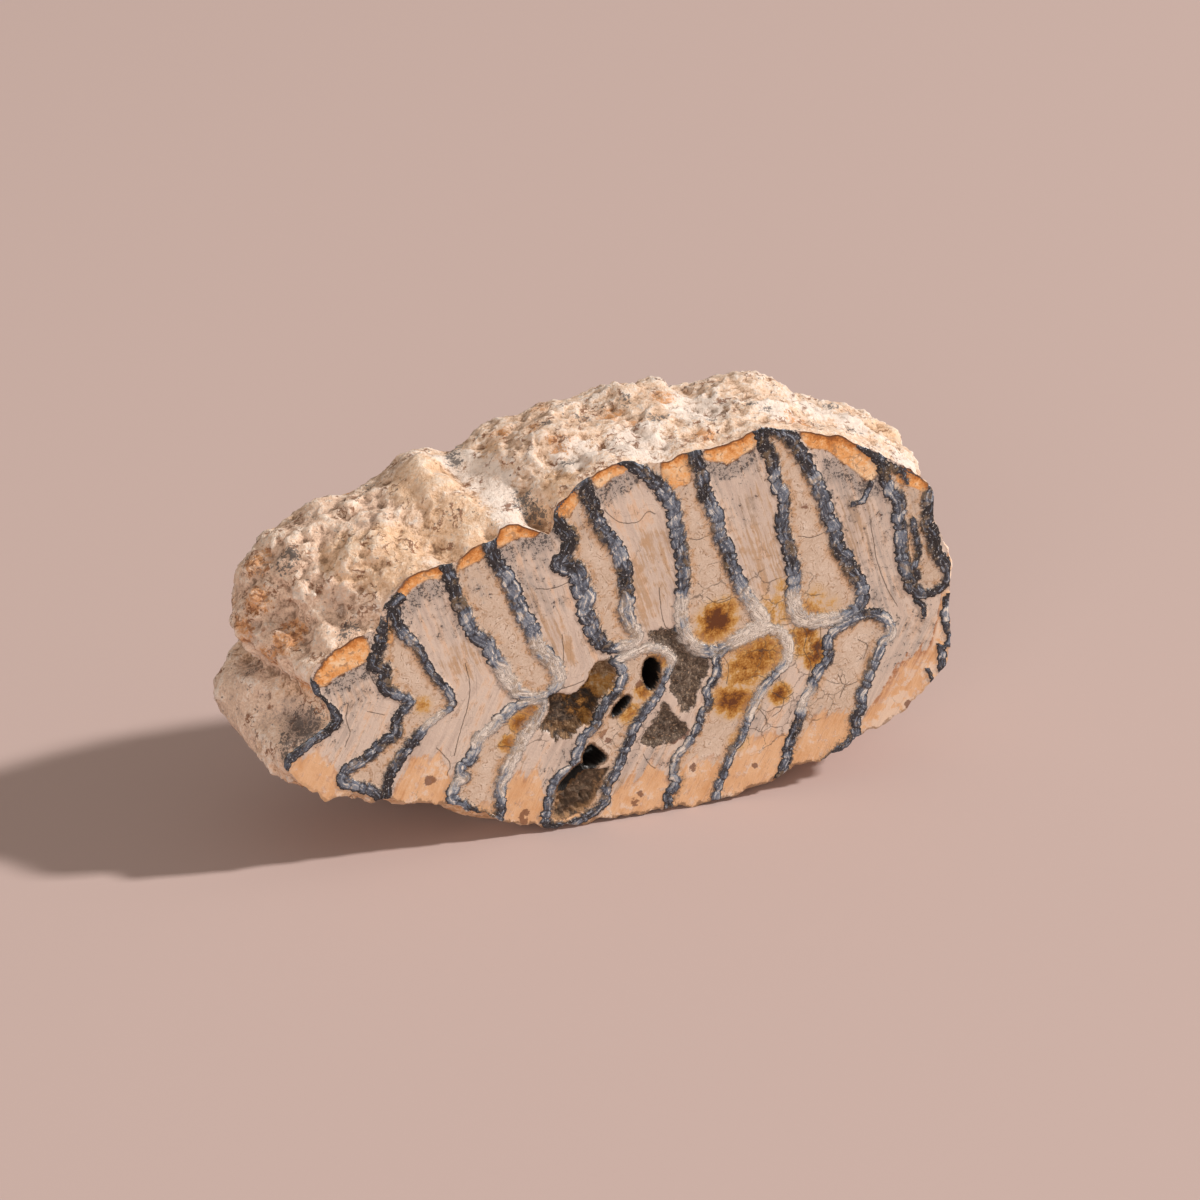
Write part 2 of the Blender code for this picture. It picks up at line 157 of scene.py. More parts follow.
def add_lamp(name, towards, elevation, distance, size, power, colour):
    """A square area lamp that shines at the tooth from a direction and a height angle, in degrees."""
    turn, lift = math.radians(towards), math.radians(elevation)
    place = Vector((math.cos(turn) * math.cos(lift), math.sin(turn) * math.cos(lift), math.sin(lift)))
    bpy.ops.object.light_add(type="AREA", location=place * distance)
    lamp = bpy.context.object
    lamp.name = name
    lamp.rotation_euler = place.to_track_quat("Z", "Y").to_euler()
    lamp.data.size = size
    lamp.data.energy = power
    lamp.data.color = colour


add_lamp("key_lamp", towards=-18, elevation=39, distance=8, size=0.6, power=710, colour=(1.0, 0.96, 0.92))
add_lamp("front_lamp", towards=-120, elevation=16, distance=3, size=1.6, power=33, colour=(1.0, 0.95, 0.9))
room = bpy.data.worlds.new("pale_room")
room.use_nodes = True
room_shader = room.node_tree.nodes["Background"]
room_shader.inputs["Color"].default_value = (*ROOM_COLOUR, 1)
room_shader.inputs["Strength"].default_value = ROOM_STRENGTH
bpy.context.scene.world = room
bpy.context.scene.view_settings.view_transform = "Standard"

# %% [markdown]
# ## The rough tooth
# We copy the plain solid and slice its front off, ridges, pits and all, a little behind the face. The
# open front is drawn forward again past the saw line, so that the crust can be roughened without
# stopping at the cut; the saw comes last, as it did on the real tooth.

# %% Copy the solid and open its front
SLICE_BEHIND = 0.4
DRAW_FORWARD = 2.5
SAME_CORNER = 0.001

molar = plain_molar.copy()
molar.data = plain_molar.data.copy()
molar.name = "molar_fossil"
molar.parent = None
bpy.context.scene.collection.objects.link(molar)
molar.data.materials.clear()
select_only(molar)
bpy.ops.object.mode_set(mode="EDIT")
bpy.ops.mesh.select_all(action="SELECT")
bpy.ops.mesh.remove_doubles(threshold=SAME_CORNER * MM)
bpy.ops.mesh.bisect(plane_co=in_frame(0, SLICE_BEHIND, 0), plane_no=(0, 1, 0), clear_inner=True)
bpy.ops.mesh.select_all(action="SELECT")
bpy.ops.mesh.separate(type="LOOSE")
bpy.ops.object.mode_set(mode="OBJECT")

# %% [markdown]
# The walls of the pits are left as loose scraps, so we keep the largest part and throw the rest away.

# %% Keep the shell, throw the scraps away
parts = sorted(bpy.context.selected_objects, key=lambda part: len(part.data.vertices))
molar = parts.pop()
for scrap in parts:
    bpy.data.objects.remove(scrap)
molar.name = "molar_fossil"
select_only(molar)
bpy.ops.object.mode_set(mode="EDIT")
bpy.ops.mesh.select_mode(type="EDGE")
bpy.ops.mesh.select_all(action="DESELECT")
bpy.ops.mesh.select_non_manifold()
bpy.ops.mesh.extrude_edges_move(TRANSFORM_OT_translate={"value": (0, -DRAW_FORWARD * MM, 0)})
bpy.ops.mesh.edge_face_add()
bpy.ops.object.mode_set(mode="OBJECT")
print("open front drawn forward:", len(molar.data.polygons), "faces,", len(parts), "scraps")

# %% [markdown]
# ## An even skin
# A voxel remesh turns the long triangles into an even net of half-millimetre squares, which is what
# displacement needs: a bump can only be as fine as the net that carries it.


# %% Modifiers
def apply_modifier(thing, kind, **settings):
    """Adds a modifier with these settings and applies it."""
    select_only(thing)
    made = thing.modifiers.new(kind.lower(), kind)
    for name, value in settings.items():
        setattr(made, name, value)
    bpy.ops.object.modifier_apply(modifier=made.name)


# %% Remesh
VOXEL = 0.55

apply_modifier(molar, "REMESH", mode="VOXEL", voxel_size=VOXEL * MM)
print("even skin:", len(molar.data.polygons), "faces")

# %% [markdown]
# ## Where the crust is rough
# Weathering isn't even. The block at the left end is knobbly, the top is scabbed with broad lumps, and a
# few places are smooth: a tan peak, the pale gully beside it, the lobe and the worn underside. The lower
# rim is chipped. Each place becomes a vertex group, a weight from 0 to 1, that masks a Displace modifier.


# %% Places on the skin
def vertex_places(thing):
    """Every vertex as a row (x, y, z) of the drawing, in millimetres."""
    return values_of(thing.data.vertices, "co", 3) / MM - (SHIFT_X, FACE_Y, 0)


def ramp(value, low, high):
    """0 below low, 1 above high, and a smooth rise between them."""
    share = np.clip((value - low) / (high - low), 0, 1)
    return share * share * (3 - 2 * share)


def near_spots(places, spots):
    """1 at the middle of any of the spots (middle, reach), fading to 0 beyond it."""
    most = np.zeros(len(places))
    for middle, reach in spots:
        away = np.linalg.norm(places - middle, axis=1)
        most = np.maximum(most, 1 - ramp(away, 0.45 * reach, 1.25 * reach))
    return most


def near_path(places, path, reach):
    """1 on a path of straight runs, fading to 0 at its reach."""
    nearest = np.full(len(places), np.inf)
    for start, end in zip(path, path[1:]):
        start, run = np.array(start, float), np.subtract(end, start)
        share = np.clip((places - start) @ run / (run @ run), 0, 1)
        nearest = np.minimum(nearest, np.linalg.norm(places - start - share[:, None] * run, axis=1))
    return 1 - ramp(nearest, 0.35 * reach, reach)


# %% Landmarks of the crust
PEAK = [((-29, 18, 71), 7.5), ((-26, 6, 64), 6)]
LOBE = [((-66, 18, 28), 10), ((-60, 5, 28), 7)]
GULLY = [(-21, 25, 71), (-17, 14, 70), (-17, 7, 68), (-16, 1, 66)]
BLOCK = [((-55, 14, 52), 17), ((-62, 12, 44), 9), ((-44, 20, 60), 12)]

places = vertex_places(molar)
block = near_spots(places, BLOCK)
smooth = np.maximum.reduce([
    near_spots(places, PEAK),
    near_spots(places, LOBE) * 0.75,
    near_path(places, GULLY, 6) * 0.9,
    0.55 * (1 - ramp(places[:, 2], 5, 16)),
    1 - ramp(places[:, 2], 1, 6),
])
behind_rim = 0.55 + 0.45 * ramp(places[:, 1], 0.5, 5)
hidden_back = ramp(places[:, 1], 24, 38)
lower_rim = (1 - ramp(places[:, 1], 2.5, 6)) * (1 - ramp(places[:, 2], 14, 32))

# %% Vertex groups
WEIGHT_STEPS = 16


def weigh(thing, name, weights):
    """A vertex group with these weights, given out in a few steps to save time."""
    group = thing.vertex_groups.new(name=name)
    steps = np.round(np.clip(weights, 0, 1) * WEIGHT_STEPS).astype(int)
    for step in range(1, WEIGHT_STEPS + 1):
        group.add(np.flatnonzero(steps == step).tolist(), step / WEIGHT_STEPS, "REPLACE")


rough_here = (1 - smooth) * behind_rim
weigh(molar, "knobbly", block * rough_here)
weigh(molar, "scabbed", (1 - block) * rough_here * (1 - 0.5 * hidden_back))
weigh(molar, "gritty", rough_here * (1 - 0.4 * hidden_back))
weigh(molar, "all_over", behind_rim * ramp(places[:, 2], 0.5, 8))
weigh(molar, "chipped", lower_rim)

# %% [markdown]
# ## Relief
# Procedural textures move the skin along its normals. A Voronoi pattern grows away from the middles of
# its cells, so with a height below zero each cell becomes a lump, with a crease all round it. Large cells
# make knobs and scabs, small ones crumbs and chips. Cloud noise of about half their size hides the
# pattern, and finer noise adds flakes and grit.


# %% Displace textures
def relief(thing, name, texture_kind, group, height, middle, **settings):
    """Displaces the part of a mesh in a vertex group by a procedural texture, height in millimetres."""
    texture = bpy.data.textures.new(name, texture_kind)
    for setting, value in settings.items():
        setattr(texture, setting, value)
    apply_modifier(
        thing, "DISPLACE", texture=texture, texture_coords="LOCAL", vertex_group=group,
        strength=height * MM, mid_level=middle, direction="NORMAL",
    )


relief(molar, "broad_lumps", "CLOUDS", "all_over", 1.7, 0.5, noise_scale=9 * MM, noise_depth=1)
relief(molar, "knobs", "VORONOI", "knobbly", -3.3, 0.35, noise_scale=7 * MM, distance_metric="DISTANCE")
relief(molar, "lumps_on_knobs", "CLOUDS", "knobbly", 1.0, 0.5, noise_scale=2.6 * MM, noise_depth=3)
relief(molar, "scabs", "VORONOI", "scabbed", -1.3, 0.35, noise_scale=10 * MM, distance_metric="DISTANCE")
relief(molar, "lumps", "CLOUDS", "scabbed", 1.6, 0.5, noise_scale=4.6 * MM, noise_depth=4)
relief(molar, "crumbs", "VORONOI", "gritty", -0.7, 0.35, noise_scale=3.3 * MM, distance_metric="DISTANCE")
relief(
    molar, "flakes", "MUSGRAVE", "gritty", 0.45, 0.7,
    musgrave_type="RIDGED_MULTIFRACTAL", noise_scale=2.6 * MM, octaves=3, dimension_max=0.9,
)
relief(molar, "grit", "CLOUDS", "gritty", 0.6, 0.5, noise_scale=1.2 * MM, noise_depth=2)
relief(molar, "chips", "VORONOI", "chipped", -1.7, 0.15, noise_scale=5 * MM, distance_metric="DISTANCE")
relief(molar, "nicks", "CLOUDS", "chipped", 1.2, 0.6, noise_scale=1.8 * MM, noise_depth=2)

# %% [markdown]
# ## Worn flat underneath
# The tooth stands on a patch of its lower side that is worn flat, so nothing may reach below the floor.

# %% Wear the underside flat
corners = values_of(molar.data.vertices, "co", 3)
corners[:, 2] = np.maximum(corners[:, 2], 0)
move_vertices(molar.data, corners)

# %% [markdown]
# The net is now finer than it needs to be on gentle slopes. Decimate takes out what adds nothing, and
# leaves the creases and rims.

# %% Thin the crust's net
CRUST_TRIANGLES = 112_000

triangles = 2 * len(molar.data.polygons)
apply_modifier(molar, "DECIMATE", ratio=CRUST_TRIANGLES / triangles)
print("crust:", triangles, "triangles thinned to", len(molar.data.polygons))

# %% [markdown]
# ## The saw
# The saw is a block whose cutting side is a fine grid. Taking it away from the rough tooth leaves a flat
# face with a crisp, slightly ragged rim, and leaves the grid's squares printed on that face, ready to
# carry the relief of the enamel.

# %% Cut the polished face
GRID_STEP = 0.42
SAW_SIZE = (156, 90)
SAW_MIDDLE = (5, 39.7)
SAW_DEPTH = 8

bpy.ops.object.select_all(action="DESELECT")
bpy.ops.mesh.primitive_grid_add(
    x_subdivisions=round(SAW_SIZE[0] / GRID_STEP), y_subdivisions=round(SAW_SIZE[1] / GRID_STEP), size=1,
    location=in_frame(SAW_MIDDLE[0], 0, SAW_MIDDLE[1]), rotation=(-math.pi / 2, 0, 0),
)
saw = bpy.context.object
saw.name = "saw_block"
saw.scale = (SAW_SIZE[0] * MM, SAW_SIZE[1] * MM, 1)
bpy.ops.object.transform_apply(location=True, rotation=True, scale=True)
bpy.ops.object.mode_set(mode="EDIT")
bpy.ops.mesh.select_all(action="SELECT")
bpy.ops.mesh.extrude_region_move(TRANSFORM_OT_translate={"value": (0, -SAW_DEPTH * MM, 0)})
bpy.ops.mesh.select_all(action="SELECT")
bpy.ops.mesh.normals_make_consistent(inside=False)
bpy.ops.object.mode_set(mode="OBJECT")
apply_modifier(molar, "BOOLEAN", operation="DIFFERENCE", solver="MANIFOLD", object=saw)
bpy.data.objects.remove(saw)
print("after the saw:", len(molar.data.polygons), "faces")

# %% [markdown]
# The net now has two sides: the squares on the saw's plane, and the crust. The edge between them is
# marked sharp, so that the smooth shading of the crust stops at the cut.

# %% Tell the face from the crust
STRAIGHT_FORWARD = -0.99
ON_PLANE = 0.01

mesh = molar.data
facing = values_of(mesh.polygons, "normal", 3)[:, 1] < STRAIGHT_FORWARD
depth = values_of(mesh.polygons, "center", 3)[:, 1] / MM - FACE_Y
polygon_on_face = facing & (abs(depth) < ON_PLANE)

loop_polygon = np.repeat(np.arange(len(mesh.polygons)), values_of(mesh.polygons, "loop_total", kind=int))
loop_vertex = values_of(mesh.loops, "vertex_index", kind=int)
loop_edge = values_of(mesh.loops, "edge_index", kind=int)
faces_beside = np.bincount(loop_edge, weights=polygon_on_face[loop_polygon], minlength=len(mesh.edges))
edge_on_rim = faces_beside == 1
on_face = np.zeros(len(mesh.vertices), bool)
on_face[loop_vertex[polygon_on_face[loop_polygon]]] = True

edge_vertices = values_of(mesh.edges, "vertices", 2, int)
on_rim = np.zeros(len(mesh.vertices), bool)
on_rim[edge_vertices[edge_on_rim]] = True

mesh.shade_smooth()
sharp = mesh.attributes.new("sharp_edge", "BOOLEAN", "EDGE")
sharp.data.foreach_set("value", edge_on_rim)
print("face squares:", polygon_on_face.sum(), "rim corners:", on_rim.sum())

# %% [markdown]
# ## The enamel plates
# Each plate is drawn as one line down the middle of its enamel, in the millimetres of the drawing: down
# its left side, round the bottom and up its right side. Inside a line is dentine, outside it is cement.
# Plates that reach the rim stay open at the top; the saw met the worn ones twice, as an upper and a
# lower loop. Each has the half width of its enamel and how much of its outer side is milky.

# %% Enamel lines
PLATES = {
    "end": (False, 1.1, 0.1, [
        (-57, 38.5), (-55.5, 35.5), (-54, 33.8), (-52.3, 31.5), (-54, 29.5), (-57, 28), (-60, 26),
        (-62.5, 24), (-63.5, 22),
    ]),
    "first": (False, 1.25, 0.1, [
        (-43, 48), (-44, 44), (-45, 41.5), (-42.8, 40), (-43, 38), (-42.5, 36), (-40.5, 34.5), (-38, 32.5),
        (-40, 30.5), (-41, 28.5), (-41, 26.3), (-43.5, 25), (-46, 23), (-48.5, 21.5), (-51, 20.3),
        (-51.5, 18), (-49.5, 17), (-47.5, 16), (-45.5, 14.8), (-43.6, 12.8), (-42.8, 17), (-41.5, 19.5),
        (-39.5, 22.3), (-37, 25), (-35, 27), (-32, 29), (-29.8, 30.5), (-30.5, 33.5), (-32, 35.5),
        (-33.5, 37.5), (-35, 40.5), (-36, 43), (-37, 44.5), (-38.5, 46), (-39.8, 48), (-40.5, 50),
        (-41, 53),
    ]),
    "second": (False, 1.4, 0.1, [
        (-30.8, 61), (-29.8, 57.5), (-28.8, 54), (-28.2, 51.5), (-27, 49.5), (-26.3, 47), (-25.5, 45),
        (-24, 43.5), (-22.5, 42), (-21.7, 40), (-20.8, 38), (-19.5, 36.5), (-19, 34.5), (-17.5, 32.5),
        (-16.3, 30.8), (-12.5, 29.5), (-10.3, 30), (-8.8, 31.5), (-8.3, 33), (-8.7, 34.5), (-9.5, 36),
        (-11, 38), (-12.3, 39.5), (-13, 41), (-13.4, 43), (-14.3, 45), (-15.5, 47), (-16.5, 49.5),
        (-17, 51.5), (-18, 54), (-19, 56), (-20.3, 58), (-21.5, 60.5), (-22.3, 64),
    ]),
    "second_low": (True, 1.15, 0.55, [
        (-12, 28.5), (-17, 28.3), (-19, 27), (-20.5, 26), (-22, 24.3), (-24, 23.3), (-25, 21.5),
        (-25.8, 19.5), (-26.5, 18.2), (-28, 17.5), (-28.3, 16), (-27.5, 14.8), (-29, 14), (-30.3, 11.5),
        (-29.5, 10), (-28, 9), (-26.5, 7.5), (-24.5, 6), (-21.5, 4.3), (-20.4, 7.5), (-20.5, 11.5),
        (-19.7, 13.5), (-18.8, 15.5), (-17.7, 17.5), (-16.5, 19.5), (-15.5, 21.5), (-14, 23.5),
        (-12.5, 25.5), (-11.5, 27.3),
    ]),
    "third": (False, 1.5, 0.15, [
        (-10, 66.5), (-7.3, 63.5), (-5.8, 61), (-7, 58.3), (-8, 56.3), (-5.2, 55), (-4.2, 53), (-3.8, 50.5),
        (-2.6, 48.5), (-3.2, 46), (-2, 43.8), (-1.5, 41.5), (-0.2, 39.5), (1.2, 37.8), (4, 37.4), (6.8, 38),
        (7.5, 39.5), (6.5, 41), (5.7, 43), (5.2, 45), (5.5, 47), (5.3, 49), (5, 51), (5, 53), (4.3, 55.5),
        (3.5, 57.5), (2.5, 59.5), (1.2, 61), (0, 63), (-0.8, 65), (-1.3, 67), (-2.5, 69.5), (-3.7, 73),
    ]),
    "third_low": (True, 1.1, 0.45, [
        (3, 34.4), (4.3, 33), (4.7, 31), (4.2, 29.5), (3.5, 28), (1.8, 26.5), (0.5, 25), (-0.3, 23),
        (-0.8, 21.5), (-2.3, 20.2), (-3.5, 19.3), (-4, 17.5), (-4.8, 16), (-5, 14.5), (-5.5, 13),
        (-7.5, 12.3), (-9, 11.2), (-9.8, 9.5), (-10.3, 7.5), (-10.7, 5.5), (-11.2, 3.5), (-10.6, 1.6),
        (-8.5, 0.8), (-6, 0.9), (-4.2, 1.6), (-2.5, 2.3), (-0.7, 3.3), (1, 4.8), (1.2, 7.6), (2.3, 9.3),
        (3.5, 11.2), (4.3, 13), (5, 15), (6, 17), (6.8, 19), (7.8, 21), (9, 22.5), (10.5, 24.2), (12, 26),
        (12.5, 28), (13.7, 30), (14.8, 32), (14.3, 33.8), (12.8, 35.2), (11, 36), (9, 36.2), (6, 35.3),
    ]),
    "fourth": (False, 1.45, 0.2, [
        (5, 76), (8.5, 73), (10, 71.5), (12, 69.5), (13.3, 67.5), (14.5, 65.5), (15, 63.5), (15.3, 61),
        (15.8, 58.5), (16.3, 56), (16.7, 53.5), (17, 51), (17, 49), (16.8, 47), (16.5, 43), (17, 39),
        (18.5, 36), (21, 34), (24.5, 33.3), (29, 35.5), (33.5, 38), (32.3, 40.5), (31, 42.5), (29.8, 44.5),
        (28.8, 46.5), (28, 48.5), (27, 50.5), (26.5, 52.5), (25.8, 55), (24.5, 57), (24, 59), (23.7, 61.5),
        (22.8, 63), (22, 65), (21, 67), (20.7, 69), (20.2, 71), (19.2, 73.5), (18.6, 76),
    ]),
    "fourth_low": (False, 1.05, 0.8, [
        (14.7, -1), (14.3, 2), (14.2, 4), (15.5, 5), (16, 6.5), (15.3, 8), (15.5, 10), (16, 12),
        (17.5, 13.5), (18.8, 15), (19.8, 16.8), (20.8, 18.5), (21, 20.5), (22.2, 21.5), (22.7, 23),
        (22, 24.3), (22.4, 25.8), (23.7, 27.5), (24.3, 29.5), (24, 31.5), (25.3, 33.3), (28, 34.3),
        (32, 35.6), (35, 36.4), (37.5, 35), (39, 32.5), (39, 30), (38.3, 28), (36.5, 26.5), (34.5, 24.5),
        (33.3, 22.8), (32.3, 21), (31.5, 19), (30.8, 17), (30, 15), (29.2, 13), (27.8, 11.5), (27, 9.5),
        (26.2, 7.5), (25.5, 5.5), (24.5, 3), (24, -1),
    ]),
    "fifth": (False, 1.5, 0.15, [
        (31.8, 81), (32.8, 76), (33.8, 74), (34.8, 72), (35.2, 70), (35.6, 68), (36, 66), (37.2, 64.5),
        (37.6, 62.5), (37.4, 60), (37.2, 58), (37.8, 56), (38.5, 54), (39, 52), (39.5, 50), (39.7, 48),
        (40, 46), (40, 44.5), (39.9, 42.5), (40.5, 39.5), (41.5, 37.7), (44, 36.6), (48, 36.3),
        (51.5, 36.6), (53.3, 37.8), (54.5, 39.5), (54.7, 41), (54, 43), (53, 45), (51.7, 47), (50.8, 49),
        (49.5, 50.5), (48.8, 52.5), (48.5, 54.5), (47.8, 56.3), (46.8, 58), (46.3, 60), (45.8, 62),
        (44.8, 64), (44, 66), (43, 68), (42, 70), (40.8, 72), (39.5, 74), (38.5, 75.7), (36.5, 77.3),
        (34.5, 78.5),
    ]),
    "fifth_low": (False, 1.2, 0.3, [
        (37.5, -1), (37.8, 2.5), (38.8, 5.5), (39.5, 7.5), (39.5, 9.5), (40, 11), (40.8, 13), (41.5, 14.5),
        (42, 16.5), (42.3, 18.5), (43, 20.5), (44.3, 22), (44.9, 24), (46, 26), (47.5, 27.5), (47.8, 29.5),
        (47.5, 31.5), (48.5, 33.3), (50, 34.3), (52, 35.3), (54, 36), (56, 36.3), (58, 35.8), (59.7, 34.7),
        (60.8, 33), (61, 31), (59.3, 29.5), (58.5, 27.5), (57.8, 26), (57, 24), (56.5, 22.5), (56, 20.8),
        (55, 19), (55.3, 17), (55, 15.5), (54, 14), (54, 10.5), (53, 9), (51.5, 8), (48, 5),
    ]),
    "sixth": (False, 1.35, 0.1, [
        (57.5, 69), (58.5, 65.5), (59, 63.5), (60, 61.5), (61.5, 60), (62, 58), (61.8, 56), (62.3, 54),
        (62.5, 52), (62.6, 50), (62.8, 48), (63.4, 46), (64, 44), (64.8, 42), (65.5, 40.5), (67.5, 38.8),
        (70, 38.9), (72, 40), (72.8, 42), (72, 44.8), (71, 46), (70, 48), (69.5, 50), (68.8, 52),
        (67.8, 53.7), (68, 55.5), (68.3, 57), (68, 59), (69.5, 62),
    ]),
}

# %% [markdown]
# A few scraps of enamel belong to no loop: a fold inside the sixth plate, a black band along the rim
# and grains at the right end. Each is a half width and a line.

# %% Enamel scraps
ENAMEL_SCRAPS = [
    (0.8, [(65.3, 53), (66, 50), (66.5, 48), (65.5, 45), (66, 43.5)]),
    (0.75, [(54.5, 71), (56, 69.5), (57.5, 68), (59.5, 67), (61, 66), (62.5, 65.3)]),
    (1.0, [(73, 36.2), (72.7, 33.6)]), (0.8, [(73.5, 30.2), (74.3, 28)]), (1.0, [(72.4, 25), (72.6, 22)]),
    (0.6, [(67.3, 36.8), (68, 36.2)]), (0.5, [(70.4, 20), (71, 18.6)]), (0.6, [(54.8, 62), (54, 60.4)]),
]

# %% [markdown]
# ## The tone of the enamel
# The enamel runs from near black at the worn rim, through blue-grey, to milky white where the plates
# bend. Each spot is (x, z, reach, tone), with 0 for black and 1 for white; between them it is blue-grey.
# A few stretches are wider than the rest: (x, z, reach, times as wide).

# %% Tone and width spots
PLAIN_TONE = 0.48
TONE_SPOTS = [
    (-43.5, 44, 5, 0.08), (-44, 37, 3, 0.15), (-42, 28, 3, 0.3), (-48, 21, 3.5, 0.45), (-49, 16, 3, 0.5),
    (-41, 50, 4.5, 0.1), (-38.5, 45.5, 2.2, 0.75), (-34, 39, 4, 0.4), (-31, 33, 3, 0.62),
    (-33.5, 28, 3, 0.85), (-38.5, 23, 3.5, 0.25), (-43, 15, 4, 0.12), (-55, 33, 5, 0.12), (-60, 26, 4, 0.3),
    (-30, 58, 5, 0.05), (-28, 52, 3, 0.2), (-26, 46, 3, 0.55), (-21.5, 40, 2.5, 0.62), (-19, 34, 4, 0.93),
    (-14, 30, 4, 0.85), (-21.5, 61, 4.5, 0.12), (-17, 52, 4, 0.5), (-15, 46, 3.5, 0.6),
    (-12.5, 40.5, 2.2, 0.9), (-9, 34, 4, 0.88), (-10, 30, 2.5, 0.6), (-17, 28, 2.6, 0.6),
    (-23, 23, 3, 0.85), (-27, 17, 3, 0.5), (-28, 14.5, 3, 0.8), (-29.5, 10, 3, 0.4), (-26, 6.5, 3, 0.3),
    (-21.2, 5, 3, 0.35), (-20, 12, 3, 0.75), (-16, 20, 6, 0.88), (-12.5, 26, 3, 0.8), (-7, 61.5, 6, 0.06),
    (-7, 57, 3, 0.12), (-4, 51, 4, 0.55), (-2.5, 46, 2.5, 0.45), (-1, 41, 2.5, 0.35), (1.5, 37.5, 2.5, 0.3),
    (5, 37.8, 2.5, 0.88), (-2.5, 70, 4, 0.12), (0.5, 62, 3.5, 0.35), (3.5, 57, 3, 0.48),
    (5, 50.5, 2.5, 0.2), (5.8, 44, 2.6, 0.72), (6.8, 40.5, 2.2, 0.85), (8, 35.8, 4.5, 0.93),
    (14.4, 33, 2.5, 0.93), (4.4, 31, 3, 0.45), (0.5, 25, 3, 0.4), (-4, 18, 3, 0.6), (-6.5, 12.5, 3, 0.5),
    (-10.2, 7, 3, 0.3), (-9, 1.5, 3, 0.3), (-1, 3.2, 3, 0.35), (2.5, 9.5, 3, 0.25), (5, 15, 3, 0.35),
    (9, 22, 4, 0.35), (13, 29, 3, 0.6), (8, 73.5, 4, 0.06), (12.5, 69, 3.5, 0.3), (15, 62, 4, 0.45),
    (16.5, 54, 4, 0.32), (17, 48.5, 2.5, 0.4), (16.8, 44, 3.5, 0.9), (18.5, 36, 4, 0.9),
    (23.5, 33.3, 3, 0.7), (29, 36, 3, 0.95), (33.2, 38.5, 2.5, 0.95), (19.3, 73, 3.5, 0.05),
    (21, 68, 3, 0.2), (23.5, 61, 4, 0.45), (25, 56, 3, 0.25), (28, 48.5, 3, 0.3), (30.2, 44, 3, 0.78),
    (32.3, 41, 2.5, 0.92), (35, 36.2, 5, 0.97), (39, 31, 3.5, 0.95), (36, 26, 3, 0.6), (33, 22, 4, 0.8),
    (30, 15, 4, 0.6), (27.5, 10, 3, 0.6), (25.5, 5, 4, 0.3), (24.3, 29.5, 3, 0.4), (22.5, 24, 3, 0.45),
    (20, 17.5, 3, 0.35), (17, 13, 3, 0.7), (15.3, 8, 3, 0.6), (15, 4, 3, 0.18), (14.5, 0, 3, 0.3),
    (33, 76, 4, 0.08), (35, 71, 3.5, 0.35), (36, 66.5, 3, 0.6), (37.4, 62, 2.5, 0.3), (37.8, 56, 3, 0.35),
    (39.3, 51, 3, 0.28), (40, 46, 2.6, 0.5), (40, 42, 3, 0.9), (42, 37.5, 3, 0.9), (47, 36.3, 4, 0.93),
    (52, 36.8, 3, 0.7), (38, 76.5, 5, 0.06), (41.5, 71, 4, 0.22), (44, 66, 3, 0.55), (46.5, 60, 4, 0.45),
    (48.5, 54, 3, 0.35), (50.5, 49.5, 3, 0.25), (53.5, 44, 3.5, 0.35), (54.5, 40.5, 2.5, 0.5),
    (46, 26, 3.5, 0.3), (43, 20.5, 3.5, 0.85), (41.5, 14, 3, 0.25), (39.8, 9, 3, 0.4), (38, 3, 4, 0.2),
    (48, 31.5, 4, 0.35), (54, 36, 4, 0.3), (59.5, 34.5, 3, 0.55), (61, 31.5, 3, 0.85), (58, 26.5, 3, 0.5),
    (56, 20.5, 3, 0.45), (54.5, 14.5, 3, 0.3), (52, 8, 4, 0.3), (58, 67, 4, 0.1), (59.5, 62, 3, 0.55),
    (62, 57.5, 3, 0.3), (62.5, 51, 3.5, 0.4), (63.5, 45, 3, 0.45), (66, 40, 3, 0.2), (71, 39.5, 3, 0.1),
    (70, 50, 6, 0.06), (69, 59, 4, 0.1),
]
WIDTH_SPOTS = [
    (-3.8, 52, 5, 1.3), (-10, 44, 12, 1.15), (-33, 37, 7, 0.7), (-31, 29, 4, 0.65), (-44, 41, 5, 1.15),
    (-12, 29, 3.5, 0.6), (4, 37.5, 3.5, 0.8), (14, 32, 4, 0.85), (36, 66, 5, 0.85), (69.5, 52, 10, 1.05),
    (72, 41, 4, 0.65), (20, 19, 6, 0.85), (28, 12, 6, 0.9), (-43, 14, 3, 0.85), (62.3, 50, 8, 1.15),
    (15, 62, 6, 1.1), (-16, 53, 5, 1.15), (-16.5, 19.5, 7, 1.25), (37, 34.5, 6, 1.15), (9, 36, 4, 0.9),
]

# %% [markdown]
# ## Patches of the cement
# Orange cement lies in the bays between the plates at the rim. Grey mud fills two hollows, a brown
# hollow is open beside them, and four small holes go deep. Each is an outline in the drawing.

